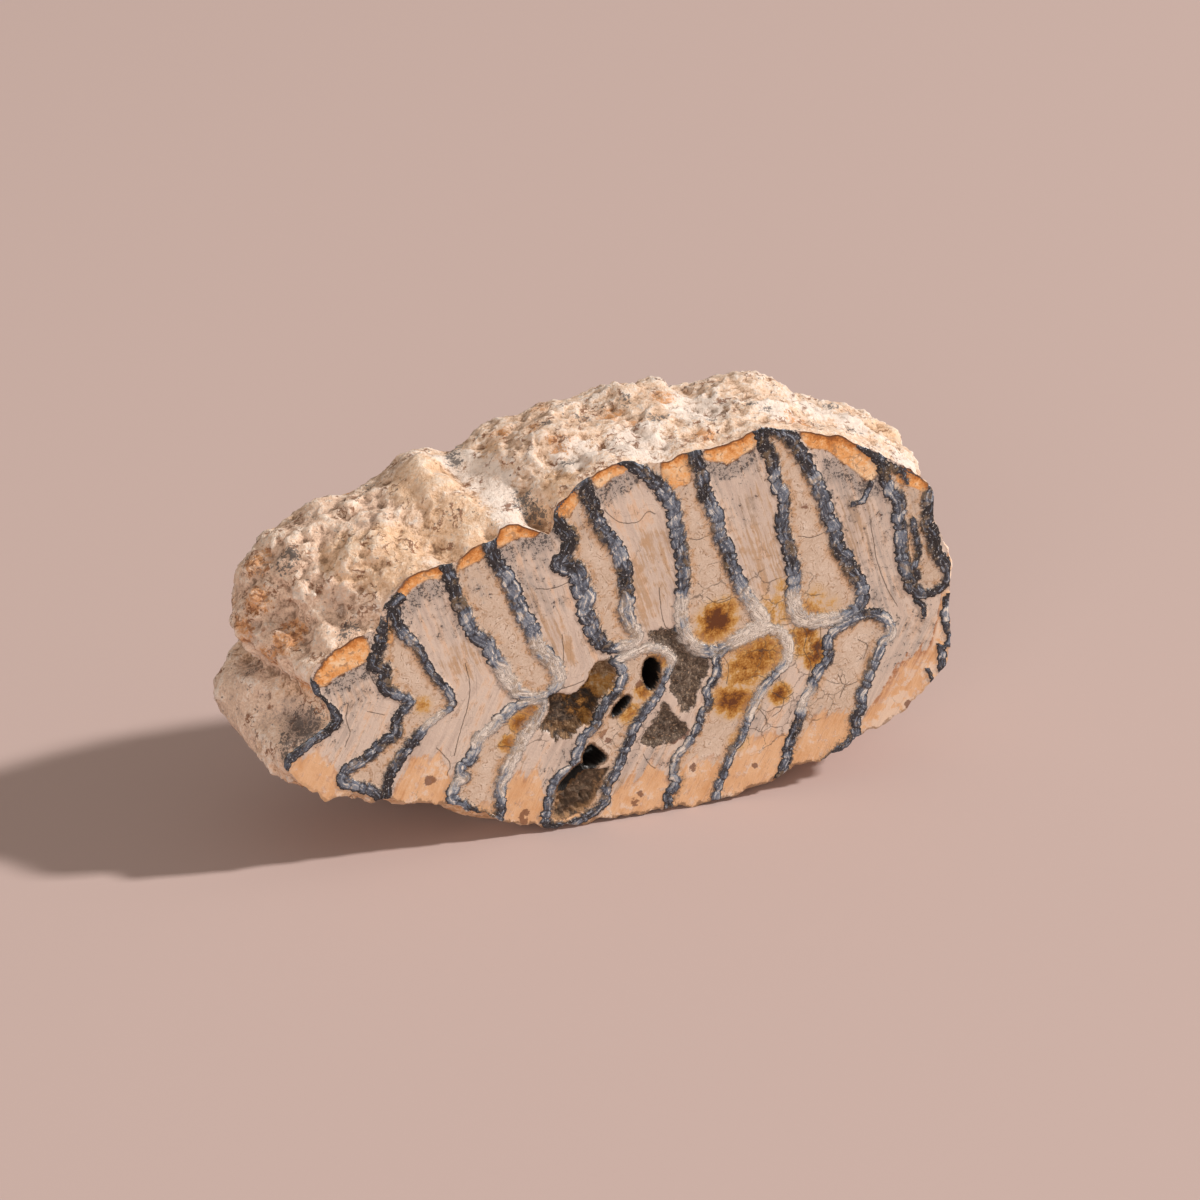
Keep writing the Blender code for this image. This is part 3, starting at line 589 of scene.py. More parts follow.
# %% Patch outlines
ORANGE_PATCHES = [
    [(-57, 39), (-55.5, 42.5), (-53, 45), (-50, 47), (-47.5, 48), (-46, 46.5), (-45.5, 43), (-48, 41.5),
     (-52, 40), (-54.5, 38.5)],
    [(-41.2, 53), (-40.5, 55), (-38, 58), (-35, 60), (-32, 60.5), (-31, 58.6), (-31.5, 56.8), (-34, 57),
     (-37, 55.5), (-39, 53.5), (-40.3, 51.5)],
    [(-42.6, 50), (-41.6, 49.5), (-40.8, 46.5), (-41.6, 45), (-43, 46.5)],
    [(-28.6, 58), (-27.5, 60.5), (-25.5, 63), (-23, 62.5), (-22.8, 60.2), (-25.5, 58.8)],
    [(-20.5, 61.5), (-21, 64), (-19.6, 67.2), (-16.5, 67), (-14, 66), (-12, 64), (-13, 62.5), (-16, 62.8),
     (-18.5, 62)],
    [(-9.3, 67), (-8, 70), (-5.5, 71.3), (-4, 69), (-6, 66), (-7.5, 65)],
    [(-1.8, 73.6), (2, 75.4), (6, 75.2), (5, 73), (2.5, 72.3), (0.5, 70.8), (-0.8, 71)],
    [(13, 69), (12.3, 75.5), (15, 76), (18.5, 75.5), (18.3, 70), (17, 68.8)],
    [(21, 73.5), (21.3, 76), (25, 76.6), (28, 78), (32, 79.5), (31.8, 75.3), (29, 73.5), (26, 72),
     (24.5, 72.5)],
    [(40.5, 77), (45, 77), (50.5, 75), (54.5, 72), (56.5, 70), (57.5, 67.5), (57, 65.5), (55, 64.5),
     (52, 67), (49, 69.5), (46, 72), (42, 73.3)],
    [(61.5, 66.5), (65, 66), (69.5, 62.5), (67.3, 60.5), (64, 62), (61, 63.5)],
]
MUD_PATCHES = [
    [(10.6, 39.6), (13, 39.8), (16.3, 39.2), (17.3, 36.3), (19, 34.5), (22, 31.5), (22, 29), (20.3, 26),
     (19.5, 22.5), (17.5, 21), (16, 24), (14.2, 27), (14.4, 31), (15.6, 32.7), (14.5, 35), (12, 36.8),
     (10.6, 37.6)],
    [(13, 24), (11.5, 21), (9, 18), (8.4, 16), (10, 15.2), (14, 15.5), (17, 15.8), (18.2, 18), (15.5, 21),
     (14, 23.5)],
]
BROWN_HOLLOW = [
    (-10.5, 29.2), (-8.5, 29.6), (-5.5, 29), (-3, 31), (-1.5, 34), (0, 35), (2.3, 34.5), (3.3, 32),
    (2.5, 29), (0.5, 27), (-1, 24.5), (-1.7, 22), (-4, 21.5), (-6, 19.6), (-8.5, 20), (-9.2, 18.6),
    (-10, 21), (-12.3, 22.6), (-10.5, 26),
]
HOLES = [
    ([(9.4, 33.6), (11.2, 33.8), (12.4, 31.5), (11.9, 28.6), (10.6, 27.2), (9.2, 28.4), (8.7, 31)], 7.0),
    ([(2.4, 23.4), (3.2, 25), (5, 26.6), (6.2, 26.4), (5.8, 24.8), (4, 23), (2.8, 22.6)], 4.5),
    ([(-3.4, 15.4), (-1.8, 17.4), (1.2, 14.4), (-0.4, 12.6), (-3, 12.4)], 5.0),
    ([(-8.6, 9.6), (-4.8, 13.6), (-2.6, 13), (-5.4, 9.8), (-7.8, 8.2)], 2.2),
]
POROUS_BED = [
    (-9.3, 2.6), (-9.6, 5.5), (-8.2, 9.5), (-5.5, 11.8), (-2.5, 12.3), (0.2, 12), (2.2, 12), (0.6, 9.2),
    (-0.4, 7), (-2.5, 4), (-6, 2.4),
]

# %% [markdown]
# ## Lines into fields
# A material can't read a drawing, but it can read a number that is kept at each corner of the net. So
# each line and patch becomes a field: how far along the enamel a corner is, how far across it, how deep
# inside a patch. The net's squares blend those numbers, so that an edge drawn by them stays crisp.


# %% Curves and distances
LINE_STEP = 0.15


def smooth_curve(points, closed=False):
    """Points of a smooth curve through the given ones, about LINE_STEP apart."""
    given = np.array(points, float)
    if closed:
        given = np.vstack([given[-1], given, given[:2]])
    else:
        given = np.vstack([2 * given[0] - given[1], given, 2 * given[-1] - given[-2]])
    stretches = []
    for before, start, end, after in zip(given, given[1:], given[2:], given[3:]):
        count = max(2, round(np.linalg.norm(end - start) / LINE_STEP))
        share = np.arange(count)[:, None] / count
        bend = 2 * before - 5 * start + 4 * end - after
        twist = 3 * start - before - 3 * end + after
        stretches.append(start + 0.5 * share * (end - before + share * (bend + share * twist)))
    return np.vstack(stretches)


def nearest_on(curve, places):
    """The index of the nearest point of a curve, for each place, and the distance to it."""
    tree = KDTree(len(curve))
    for index, point in enumerate(curve):
        tree.insert((*point, 0), index)
    tree.balance()
    found = np.array([tree.find((*place, 0))[1:] for place in places])
    return found[:, 0].astype(int), found[:, 1]


def inside(outline, places):
    """True for the places within a closed outline."""
    within = np.zeros(len(places), bool)
    for (x1, z1), (x2, z2) in zip(outline, np.roll(outline, -1, axis=0)):
        if z1 != z2:
            crossing = x1 + (places[:, 1] - z1) * (x2 - x1) / (z2 - z1)
            within ^= ((z1 > places[:, 1]) != (z2 > places[:, 1])) & (places[:, 0] < crossing)
    return within


def depth_inside(outlines, places, reach=6.0):
    """Millimetres inside the nearest outline, negative outside, no further than reach."""
    deepest = np.full(len(places), -reach)
    for outline in outlines:
        curve = smooth_curve(outline, closed=True)
        middle = curve.mean(axis=0)
        close = (abs(places - middle) < abs(curve - middle).max(axis=0) + reach).all(axis=1)
        away = nearest_on(curve, places[close])[1]
        signed = np.where(inside(curve, places[close]), away, -away)
        deepest[close] = np.maximum(deepest[close], np.clip(signed, -reach, reach))
    return deepest


def spot_blend(spots, places, plain, plain_weight=0.05):
    """A value that the spots (x, z, reach, value) pull away from the plain one near them."""
    total, weight = np.full(len(places), plain * plain_weight), np.full(len(places), plain_weight)
    for x, z, reach, value in spots:
        share = np.exp(-((places[:, 0] - x) ** 2 + (places[:, 1] - z) ** 2) / (0.5 * reach ** 2))
        total += value * share
        weight += share
    return total / weight


# %% [markdown]
# For every corner of the polished face we look for the nearest point of any enamel line. Its place along
# the line, its distance and the side it lies on are all that the enamel's pattern needs.

# %% Fields of the enamel
PLATE_APART = 200
SCRAP_MILK = 0.1
NEAR_LINE, LEAST_AWAY = 3, 0.02

face_vertices = np.flatnonzero(on_face)
face = vertex_places(molar)[face_vertices][:, [0, 2]]

curves, alongs, widths, milks = [], [], [], []
in_plate = np.zeros(len(face), bool)
scraps = {f"scrap_{number}": (False, half_width, SCRAP_MILK, points)
          for number, (half_width, points) in enumerate(ENAMEL_SCRAPS)}
for number, (name, (closed, half_width, milk, points)) in enumerate((PLATES | scraps).items()):
    curve = smooth_curve(points, closed)
    curves.append(curve)
    alongs.append(PLATE_APART * number + LINE_STEP * np.arange(len(curve)))
    widths.append(np.full(len(curve), half_width))
    milks.append(np.full(len(curve), milk))
    if name in PLATES and name != "end":
        in_plate |= inside(curve, face)
curves, alongs = np.vstack(curves), np.concatenate(alongs)
widths = np.concatenate(widths) * spot_blend(WIDTH_SPOTS, curves, 1)
milks = np.concatenate(milks)

nearest, away = nearest_on(curves, face)
run = np.roll(curves, -1, axis=0) - curves
run /= np.maximum(np.linalg.norm(run, axis=1), 1e-6)[:, None]
offset = face - curves[nearest]
beside = abs(offset[:, 0] * run[nearest, 1] - offset[:, 1] * run[nearest, 0]) + LEAST_AWAY
away = np.where(away < NEAR_LINE, np.minimum(away, beside), away)

fields = {
    "along": alongs[nearest],
    "across": np.where(in_plate, away, -away),
    "half_width": widths[nearest],
    "milk": milks[nearest],
    "tone": spot_blend(TONE_SPOTS, face, PLAIN_TONE),
    "orange": depth_inside(ORANGE_PATCHES, face),
    "mud": depth_inside(MUD_PATCHES, face),
    "hollow": depth_inside([BROWN_HOLLOW], face),
    "porous": depth_inside([POROUS_BED], face),
    "hole": depth_inside([outline for outline, _ in HOLES], face),
}
print("enamel lines:", len(curves), "points;", "share of dentine:", round(in_plate.mean(), 3))

# %% [markdown]
# ## Stains, streaks and cracks
# The cement between the plates is streaked along them. The streaks lean back above the bend of the
# plates and forward below it, so a lane is a line that leans in the same way. Its bottom is stained tan
# up to a ragged level, and the rest has grey clouds, amber stains and a few cracks.

# %% Stains, streaks and cracks of the face
BEND_HEIGHT = 34.5
LEAN_ABOVE, LEAN_BELOW = 0.33, -0.5
TAN_LEVEL = [
    (-64, 27), (-55, 24), (-50, 17), (-44, 12), (-42, 14), (-38, 22), (-32, 20), (-28, 9), (-21, 7),
    (-18.5, 13), (-13, 14), (-11, 7), (0, 2), (2, 6), (11, 11), (13, 9), (15, 5), (18, 11), (25, 10),
    (29, 9), (31, 13.5), (38, 13.5), (41, 10), (45, 16), (52, 16), (54, 12), (56, 14), (64, 25), (70, 27),
    (71.5, 36), (73, 50), (75, 58),
]
GREY_CLOUDS = [
    (55, 59, 9), (49, 66, 5), (56, 50, 7), (60, 40, 5), (-50, 40, 5), (-47, 36, 5), (26, 70, 6),
    (29, 62, 4), (-1, 64, 5), (-14, 58, 7), (-10, 50, 5), (-25, 55, 5), (-34, 52, 5), (-30, 47, 4),
    (66, 58, 5), (67, 48, 5), (-11, 61, 5), (3, 71, 4), (15.5, 68, 3), (53, 68, 4), (-8, 14, 5), (9, 10, 6),
    (44, 16, 4), (-52, 30, 5), (31, 17, 4), (63, 33, 7), (65, 27, 5), (60, 46, 6), (65, 39, 6), (59, 26, 4),
]
BROWN_STREAKS = [
    (9.5, 52, 6), (8.5, 46, 5), (11.5, 57, 4), (33.5, 56, 6), (35, 48, 5), (32, 63, 4), (51, 57, 5),
    (53, 50, 4), (-12, 42, 5), (-8, 38, 4), (-15, 48, 4), (-27, 40, 4), (2.5, 8.5, 3.5), (-16, 9, 4),
    (30, 7, 3.5),
]
AMBER_STAINS = [
    (24, 39.8, 3.6, 1.0), (22.5, 37.5, 3, 0.55), (26, 42, 3, 0.45), (33, 31, 5.5, 0.62),
    (30, 28.5, 4.5, 0.55), (28, 22, 3.4, 0.8), (31, 21, 2.6, 0.6), (25.8, 22.5, 3, 0.7),
    (37.5, 22, 2.2, 0.8), (36, 40, 5, 0.3), (42, 33, 4.5, 0.42), (45, 28.5, 2.4, 0.8),
    (45.3, 31, 1.5, 1.05), (43.4, 34.3, 1.5, 0.9), (43.5, 37.5, 4, 0.5), (44.5, 41.5, 4, 0.22),
    (48, 39.5, 3, 0.22), (-16, 24.5, 2.4, 0.8), (-18.5, 20.5, 2, 0.7), (-14, 27, 1.6, 0.8),
    (29, 13, 2.5, 0.4), (12, 33, 2.2, 0.6), (6, 23, 2.5, 0.5), (9, 27, 2, 0.6), (38, 45, 3, 0.25),
    (3, 28, 1.5, 0.6), (-35.5, 31.5, 2.2, 0.35),
]
BROWN_SPOTS = [
    (-34.5, 15.5, 1.2), (-15.5, 4.6, 1.1), (-15.6, 3.6, 1.0), (7.2, 3.6, 1.0), (8.4, 5, 0.8),
    (32.5, 7, 0.7), (42, 61, 0.7), (65.5, 15, 0.9), (17.2, 16.7, 1.6), (15.8, 15.9, 1.2),
    (-24.7, 49.5, 0.5), (-49, 30, 0.4), (19.5, 8.8, 0.9), (0.6, 19.4, 0.9), (1.6, 17.8, 0.7), (8, 29, 0.9),
]
CRACKS = [
    [(-27, 38.5), (-26.2, 34), (-26.8, 29.5), (-28.5, 24), (-29.5, 20)],
    [(-50.2, 34), (-50.6, 31), (-50, 28), (-51, 25.5)],
    [(12, 48.5), (12.4, 44.5), (13.2, 40.5), (14.5, 39.3)],
    [(55.8, 56), (56.8, 51), (57.8, 46.5), (60, 41), (62.3, 37)],
    [(1, 66), (4, 63.2), (7.5, 62.8), (9.5, 64.5), (11, 64)],
    [(-46, 40), (-44.5, 37), (-41, 34), (-38.5, 30.5)],
    [(-7.7, 41.5), (-7.4, 38), (-7.6, 33.5), (-7.4, 31)],
    [(-12.5, 52), (-9.5, 51.6), (-6.5, 52.4)],
    [(-10.5, 30.2), (-6, 30.6), (-3.4, 31.4)],
    [(9, 13.5), (10, 11.5), (11.5, 10)],
    [(31.5, 20), (33.5, 19), (34.8, 16.5), (33.8, 14.5)],
    [(36, 22.5), (38.6, 20.8), (40.4, 21.6)], [(38.6, 20.8), (38, 18.5), (36.2, 17.2)],
    [(41, 37), (43, 34), (42.5, 30.5), (44, 27.5), (43.6, 24.5)],
    [(38, 44), (38.6, 40), (40.6, 37.8)], [(37.5, 38), (40.5, 37.6), (44, 38)],
    [(28, 44), (30.5, 41.5), (31.5, 38.5), (35, 37.6)], [(45.5, 37.2), (46, 33), (45.2, 30.4), (46.4, 28)],
    [(22, 45), (24, 43.5), (27.5, 44.2)], [(24.5, 33.2), (26.5, 30), (26.3, 26)],
    [(50, 24), (51.5, 21.5), (54.5, 22)], [(51.5, 21.5), (50.5, 19)], [(54, 31), (56, 29.5), (55.4, 26.8)],
    [(17.6, 58), (20, 57.4), (22.8, 58.2)], [(41, 55), (43.5, 54.4), (46, 55)],
    [(-4.5, 44), (-1, 44.6)], [(-33, 22), (-30.5, 18.5), (-31, 16)], [(-46.5, 32), (-43, 30.6)],
]
HOLLOW_CORE = [(-4, 26.5, 3.4), (-7, 25, 2.2), (-1.5, 25.5, 2)]
GREY_BED = [(-10, 22.5, 4), (-6, 21, 3), (-9, 27, 2), (1, 34, 3)]
CRAZED = [
    (38, 30, 8), (44, 22, 8), (36, 17, 7), (33, 44, 5), (24, 46, 6), (-16, 22, 6), (6, 20, 6), (40, 42, 6),
]
CRACK_REACH = 1.5


def near_marks(marks, places):
    """1 at any of the marks (x, z, reach), fading to 0 at one and a half times its reach."""
    return near_spots(places, [(mark[:2], 1.2 * mark[2]) for mark in marks])


x, z = face.T
lean = np.where(z > BEND_HEIGHT, LEAN_ABOVE, LEAN_BELOW)
amber_share = np.zeros(len(face))
for stain_x, stain_z, reach, strength in AMBER_STAINS:
    share = np.exp(-((x - stain_x) ** 2 + (z - stain_z) ** 2) / (0.9 * reach ** 2))
    amber_share = np.maximum(amber_share, strength * share)

crack_away, crack_strength = np.full(len(face), CRACK_REACH), np.zeros(len(face))
for crack in CRACKS:
    curve = smooth_curve(crack)
    close = (abs(face - curve.mean(axis=0)) < np.ptp(curve, axis=0) / 2 + 2).all(axis=1)
    index, true_away = nearest_on(curve, face[close])
    heading = np.gradient(curve, axis=0)[index]
    offset = face[close] - curve[index]
    side = (offset[:, 0] * heading[:, 1] - offset[:, 1] * heading[:, 0]) / np.linalg.norm(heading, axis=1)
    strength = 1 - ramp(true_away - abs(side), 0.05, 0.4)
    better = abs(side) * strength + CRACK_REACH * (1 - strength) < abs(crack_away[close])
    target = np.flatnonzero(close)[better]
    crack_away[target], crack_strength[target] = side[better], strength[better]

fields |= {
    "rim": nearest_on(vertex_places(molar)[on_rim][:, [0, 2]], face)[1],
    "lane": x + lean * (z - BEND_HEIGHT),
    "tan": np.interp(x, *np.transpose(TAN_LEVEL)) - z,
    "cloud": near_marks(GREY_CLOUDS, face),
    "brown": near_marks(BROWN_STREAKS, face),
    "amber": amber_share,
    "spot": near_marks(BROWN_SPOTS, face),
    "core": near_marks(HOLLOW_CORE, face),
    "grey_bed": near_marks(GREY_BED, face),
    "crack": crack_away,
    "crack_strength": crack_strength,
    "crazed": near_marks(CRAZED, face),
}

# %% [markdown]
# ## Relief of the face
# The polish left the hard enamel a little proud of the cement. The mud and the brown hollow lie lower
# and are grainy: each bed has its depth, and the height and the size of its grain, in millimetres. The
# holes go in with steep walls. Corners on the rim stay where the saw left them.

# %% Raise the enamel, sink the hollows
ENAMEL_RAISE = 0.26
BEDS = {"mud": (0.55, 0.5, 1.1), "hollow": (1.9, 0.5, 0.8), "porous": (1.2, 1.3, 1.0)}
LEAST_SINK = 0.1


def grain(places, size):
    """Cloud noise from -1 to 1 with lumps of about this size, in millimetres."""
    return np.array([noise.fractal(Vector((x / size, z / size, 0)), 1.0, 2.0, 3) for x, z in places])


enamel_share = ramp(fields["half_width"] - away, -0.1, 0.35)
sink = -ENAMEL_RAISE * enamel_share
for name, (depth_here, height, size) in BEDS.items():
    within = fields[name] > 0
    bed = np.maximum(depth_here + height * grain(face[within], size), LEAST_SINK)
    sink[within] = bed * ramp(fields[name][within], 0, 1.0) * (1 - 0.8 * enamel_share[within])
for outline, depth_here in HOLES:
    share = ramp(depth_inside([outline], face), 0.05, 0.9)
    sink = sink * (1 - share) + depth_here * share
sink *= ~on_rim[face_vertices]

corners = values_of(mesh.vertices, "co", 3)
corners[face_vertices, 1] += sink * MM
move_vertices(mesh, corners)
print(f"face relief from {sink.min():.2f} to {sink.max():.2f} mm deep")

# %% [markdown]
# ## Fields of the crust
# On the crust the net itself tells where creases and rims are: a corner that lies below the average of
# its surroundings is in a crease, one above it is on a rim. The first is painted darker, as painted shade,
# and the second paler. The named landmarks add the tan peak, the pale gully, rust, a chalky white that is
# partly painted highlight on the top and the gully, and dark stains with the painted shade of a pit
# beside the peak.

# %% Height above the surroundings
def heights(points, rounds):
    """Millimetres that each corner stands above the average of its surroundings."""
    links = np.vstack([edge_vertices, edge_vertices[:, ::-1]])
    count = np.bincount(links[:, 0], minlength=len(points))[:, None]
    average = points.copy()
    for _ in range(rounds):
        beside = average[links[:, 1]].T
        total = np.column_stack([np.bincount(links[:, 0], part, len(points)) for part in beside])
        average = (average + total / count) / 2
    return ((points - average) * normals).sum(axis=1)


crust = vertex_places(molar)
normals = values_of(mesh.vertices, "normal", 3)

# %% Landmarks of the crust's colours
RUST = [
    (-61, 21, 56, 4), (-63, 15, 51, 4), (-58, 9, 47, 4), (-60, 8, 45, 4), (11, 13, 78, 3.5), (9, 19, 78, 4),
    (-66, 16, 45, 4), (-63, 10, 41, 4), (-57, 4, 37, 4), (-68, 24, 48, 4),
    (20, 19, 80, 3.5), (-4, 12, 76, 4), (22, 4, 77, 3.5), (43, 6, 77, 5), (-12, 24, 74, 4), (-6, 20, 76, 3),
    (40, 24, 78, 4), (60, 20, 70, 4), (-40, 36, 62, 5), (10, 38, 74, 5), (45, 38, 68, 5), (-2, 30, 78, 4),
]
DARK = [
    (-20, 28, 70, 3.5), (-21, 24, 70, 2.5), (-13, 6, 67, 4), (-12, 4, 65, 4), (-58, 3, 29, 6),
    (-57, 0, 28, 5), (-61, 0, 27, 5), (16, 12, 79, 2.5), (34, 10, 79, 2), (37, 9, 78, 2), (12, 20, 80, 2.5),
    (-4, 19, 78, 2.2), (-4, 7, 74, 2), (56, 20, 73, 2.5), (-57, 16, 58, 4), (4, 21, 77, 2), (-49, 2, 48, 3),
    (-64, 18, 35, 2.5), (55, 9, 72, 1.6), (-37, 26, 65, 2), (26, 8, 78, 1.6), (30, 4, 78, 1.6),
]
TAN_PLACES = [
    (-29, 18, 71, 9), (-26, 6, 64, 9), (-25, 1, 63, 8), (-7, 3, 72, 5), (-10, 2, 65, 4), (-40, 6, 60, 9),
    (65, 15, 68, 5), (-16, 21, 73, 4), (-45, 12, 56, 8), (62, 30, 55, 12), (-30, 40, 40, 14),
    (30, 42, 50, 12),
]
CHALK_AND_HIGHLIGHT = [
    (-18, 14, 69, 5), (-17, 7, 68, 5), (-16, 1, 66, 5), (56, 12, 72, 6), (64, 2, 67, 5), (40, 8, 78, 6),
    (10, 6, 76, 9), (25, 14, 80, 9), (-2, 8, 74, 7), (50, 16, 75, 8),
]


def near_landmarks(marks):
    """1 at any of the landmarks (x, y, z, reach) of the crust, fading to 0 beyond it."""
    return near_spots(crust, [(mark[:3], mark[3]) for mark in marks])


crust_fields = {
    "fine_height": heights(crust, 3),
    "broad_height": heights(crust, 24),
    "rust": near_landmarks(RUST),
    "dark": near_landmarks(DARK),
    "tan_skin": near_landmarks(TAN_PLACES),
    "chalk": np.maximum(near_landmarks(CHALK_AND_HIGHLIGHT), near_path(crust, GULLY, 7)),
    "block": near_spots(crust, BLOCK),
    "lobe": near_spots(crust, LOBE),
    "under": 1 - ramp(crust[:, 2] + 12 * normals[:, 2], 2, 20),
}
for name in ("fine_height", "broad_height"):
    print(name, "5 to 95 %:", np.percentile(crust_fields[name], (5, 95)).round(3))

# %% [markdown]
# Both sets of fields are kept on the net as attributes, one number a corner.


# %% Keep the fields as attributes
def keep_field(name, values, vertices=slice(None)):
    """Keeps one number at each of these corners as an attribute of the mesh."""
    field = np.zeros(len(mesh.vertices))
    field[vertices] = values
    mesh.attributes.new(name, "FLOAT", "POINT").data.foreach_set("value", field)


for name, values in fields.items():
    keep_field(name, values, face_vertices)
for name, values in crust_fields.items():
    keep_field(name, values)

# %% [markdown]
# ## Painting with expressions
# Each material is a tree of nodes. Two small classes keep it readable: a Value is a node's output that
# can be added, subtracted and multiplied like a number, and a Paint makes the nodes.


# %% Values and paints
class Value:
    """A node's output; a sum, difference or product of values adds the Math node for it."""

    def __init__(self, paint, output):
        self.paint, self.output = paint, output

    def __add__(self, other):
        return self.paint.maths("ADD", self, other)

    def __sub__(self, other):
        return self.paint.maths("SUBTRACT", self, other)

    def __rsub__(self, other):
        return self.paint.maths("SUBTRACT", other, self)

    def __mul__(self, other):
        return self.paint.maths("MULTIPLY", self, other)

    __radd__, __rmul__ = __add__, __mul__

    def __abs__(self):
        return self.paint.maths("ABSOLUTE", self)


class Paint:
    """A material with a Principled BSDF, and the nodes in front of it.

    A flat paint reads its patterns in the plane of the polished face, which is quicker to render.
    """

    def __init__(self, name, shader_inputs, flat=False):
        self.material = bpy.data.materials.new(name)
        self.material.use_nodes = True
        self.tree = self.material.node_tree
        self.shader = self.tree.nodes["Principled BSDF"]
        self.set_inputs(self.shader, shader_inputs)
        spot = self.node("TexCoord", {}, "Object")
        self.place = self.node("VectorMath", {0: spot, "Scale": 1 / MM}, operation="SCALE")
        self.dimensions = "2D" if flat else "3D"
        if flat:
            self.place = self.point(*(self.node("SeparateXYZ", {0: self.place}, axis) for axis in (0, 2)))

    def set_inputs(self, node, inputs):
        for key, value in inputs.items():
            if isinstance(value, Value):
                self.tree.links.new(value.output, node.inputs[key])
            else:
                node.inputs[key].default_value = value

    def node(self, kind, inputs, output=0, stops=None, **settings):
        """Any node: its kind, the values or links of its sockets, the output used, and its settings."""
        made = self.tree.nodes.new("ShaderNode" + kind)
        for name, value in settings.items():
            setattr(made, name, value)
        if stops:
            while len(made.color_ramp.elements) < len(stops):
                made.color_ramp.elements.new(0.5)
            for element, (position, colour) in zip(made.color_ramp.elements, stops):
                element.position, element.color = position, (*colour, 1)
        self.set_inputs(made, inputs)
        return Value(self, made.outputs[output])

    def maths(self, operation, *values):
        return self.node("Math", dict(enumerate(values)), operation=operation)

    def least(self, one, other):
        return self.maths("MINIMUM", one, other)

    def most(self, one, other):
        return self.maths("MAXIMUM", one, other)

    def rise(self, value, low, high):
        """0 where the value is below low, 1 above high, and a smooth rise between them."""
        limits = {"Value": value, "From Min": low, "From Max": high}
        return self.node("MapRange", limits, interpolation_type="SMOOTHSTEP")

    def fall(self, value, low, high):
        """1 where the value is below low, 0 above high, and a smooth fall between them."""
        return 1 - self.rise(value, low, high)

    def field(self, name):
        """A number that the mesh keeps at its corners."""
        return self.node("Attribute", {}, "Fac", attribute_name=name)

    def point(self, x, y, z=0.0):
        return self.node("CombineXYZ", {0: x, 1: y, 2: z})

    def noise(self, place, size, detail=2.0, roughness=0.55):
        """Cloud noise from about 0 to 1, with clouds of this size in millimetres."""
        inputs = {"Vector": place, "Scale": 1 / size, "Detail": detail, "Roughness": roughness}
        return self.node("TexNoise", inputs, noise_dimensions=self.dimensions)

    def cells(self, place, size, feature="F1"):
        """The distance to the middle, or to the edge, of Voronoi cells of this size in millimetres."""
        settings = {"feature": feature, "voronoi_dimensions": self.dimensions}
        return self.node("TexVoronoi", {"Vector": place, "Scale": 1 / size}, "Distance", **settings)

    def row(self, value, output, feature):
        """Voronoi cells in a row, read at a value that grows by one a cell."""
        settings = {"feature": feature, "voronoi_dimensions": "1D"}
        return self.node("TexVoronoi", {"W": value, "Scale": 1.0}, output, **settings)

    def grades(self, value, stops):
        """A colour ramp: stops are (position, colour)."""
        return self.node("ValToRGB", {0: value}, stops=stops)

    def mix(self, colour, other, share):
        """The other colour laid over the first, by a share from 0 to 1."""
        full = [value if isinstance(value, Value) else (*value, 1) for value in (colour, other)]
        return self.node("Mix", {0: share, 6: full[0], 7: full[1]}, 2, data_type="RGBA")

    def line_in(self, value, level, half_wide):
        """1 along the line where a noise passes a level, 0 on both sides of it."""
        return self.fall(abs(value - level), half_wide * 0.4, half_wide)

    def bent_place(self, millimetres, *noises):
        """The place pushed about by noises, so that what is straight or regular there bends."""
        push = self.node("VectorMath", {0: self.point(*noises), "Scale": millimetres}, operation="SCALE")
        return self.node("VectorMath", {0: self.place, 1: push}, operation="ADD")

    def brushes(self):
        """The ways to paint that are used all the time, for expressions that don't name their paint."""
        return (self.place, self.noise, self.cells, self.field, self.rise, self.fall, self.line_in,
                self.most, self.grades, self.mix)

    def finish(self, colour, roughness, height, distance):
        """Links the colour, the roughness and a bump of this height in millimetres to the shader."""
        bump = self.node("Bump", {"Height": height, "Distance": distance * MM, "Strength": 1.0})
        self.set_inputs(self.shader, {"Base Color": colour, "Roughness": roughness, "Normal": bump})
        return self.material


# %% [markdown]
# ## The polished face
# Cement and dentine come first, as the ground. The cement is pinkish, smooth and streaked along the
# plates; the dentine is tan, finely pored and veined in thin loops. A number from the mesh says how far
# inside a plate a place is, and its sign tells one from the other. Noise of several sizes breaks up every
# tone and edge; a swing is such a noise about zero.

# %% Cement and dentine
CEMENT = [
    (0.0, (0.31, 0.24, 0.205)), (0.3, (0.54, 0.415, 0.345)),
    (0.55, (0.65, 0.52, 0.435)), (1.0, (0.78, 0.69, 0.62)),
]
DENTINE = [
    (0.0, (0.30, 0.20, 0.13)), (0.35, (0.55, 0.41, 0.31)),
    (0.6, (0.66, 0.52, 0.42)), (1.0, (0.79, 0.70, 0.62)),
]
GREY_CLOUD = (0.27, 0.235, 0.22)
STREAK_BROWN = (0.42, 0.25, 0.13)
STREAK_ORANGE = (0.66, 0.40, 0.24)
STREAK_GREY = (0.34, 0.29, 0.26)
SCRATCH_BROWN = (0.22, 0.15, 0.11)
VEIN_BROWN = (0.34, 0.19, 0.10)
PORE_BROWN = (0.20, 0.12, 0.07)

polished = Paint("polished_face", {"IOR": 1.5}, flat=True)
place, noise_of, cells_of, field, rise, fall, line_in, most, grades, lay = polished.brushes()

across = field("across")
half_width = field("half_width")
length_on_face, height_on_face = (polished.node("SeparateXYZ", {0: place}, axis) for axis in (0, 1))

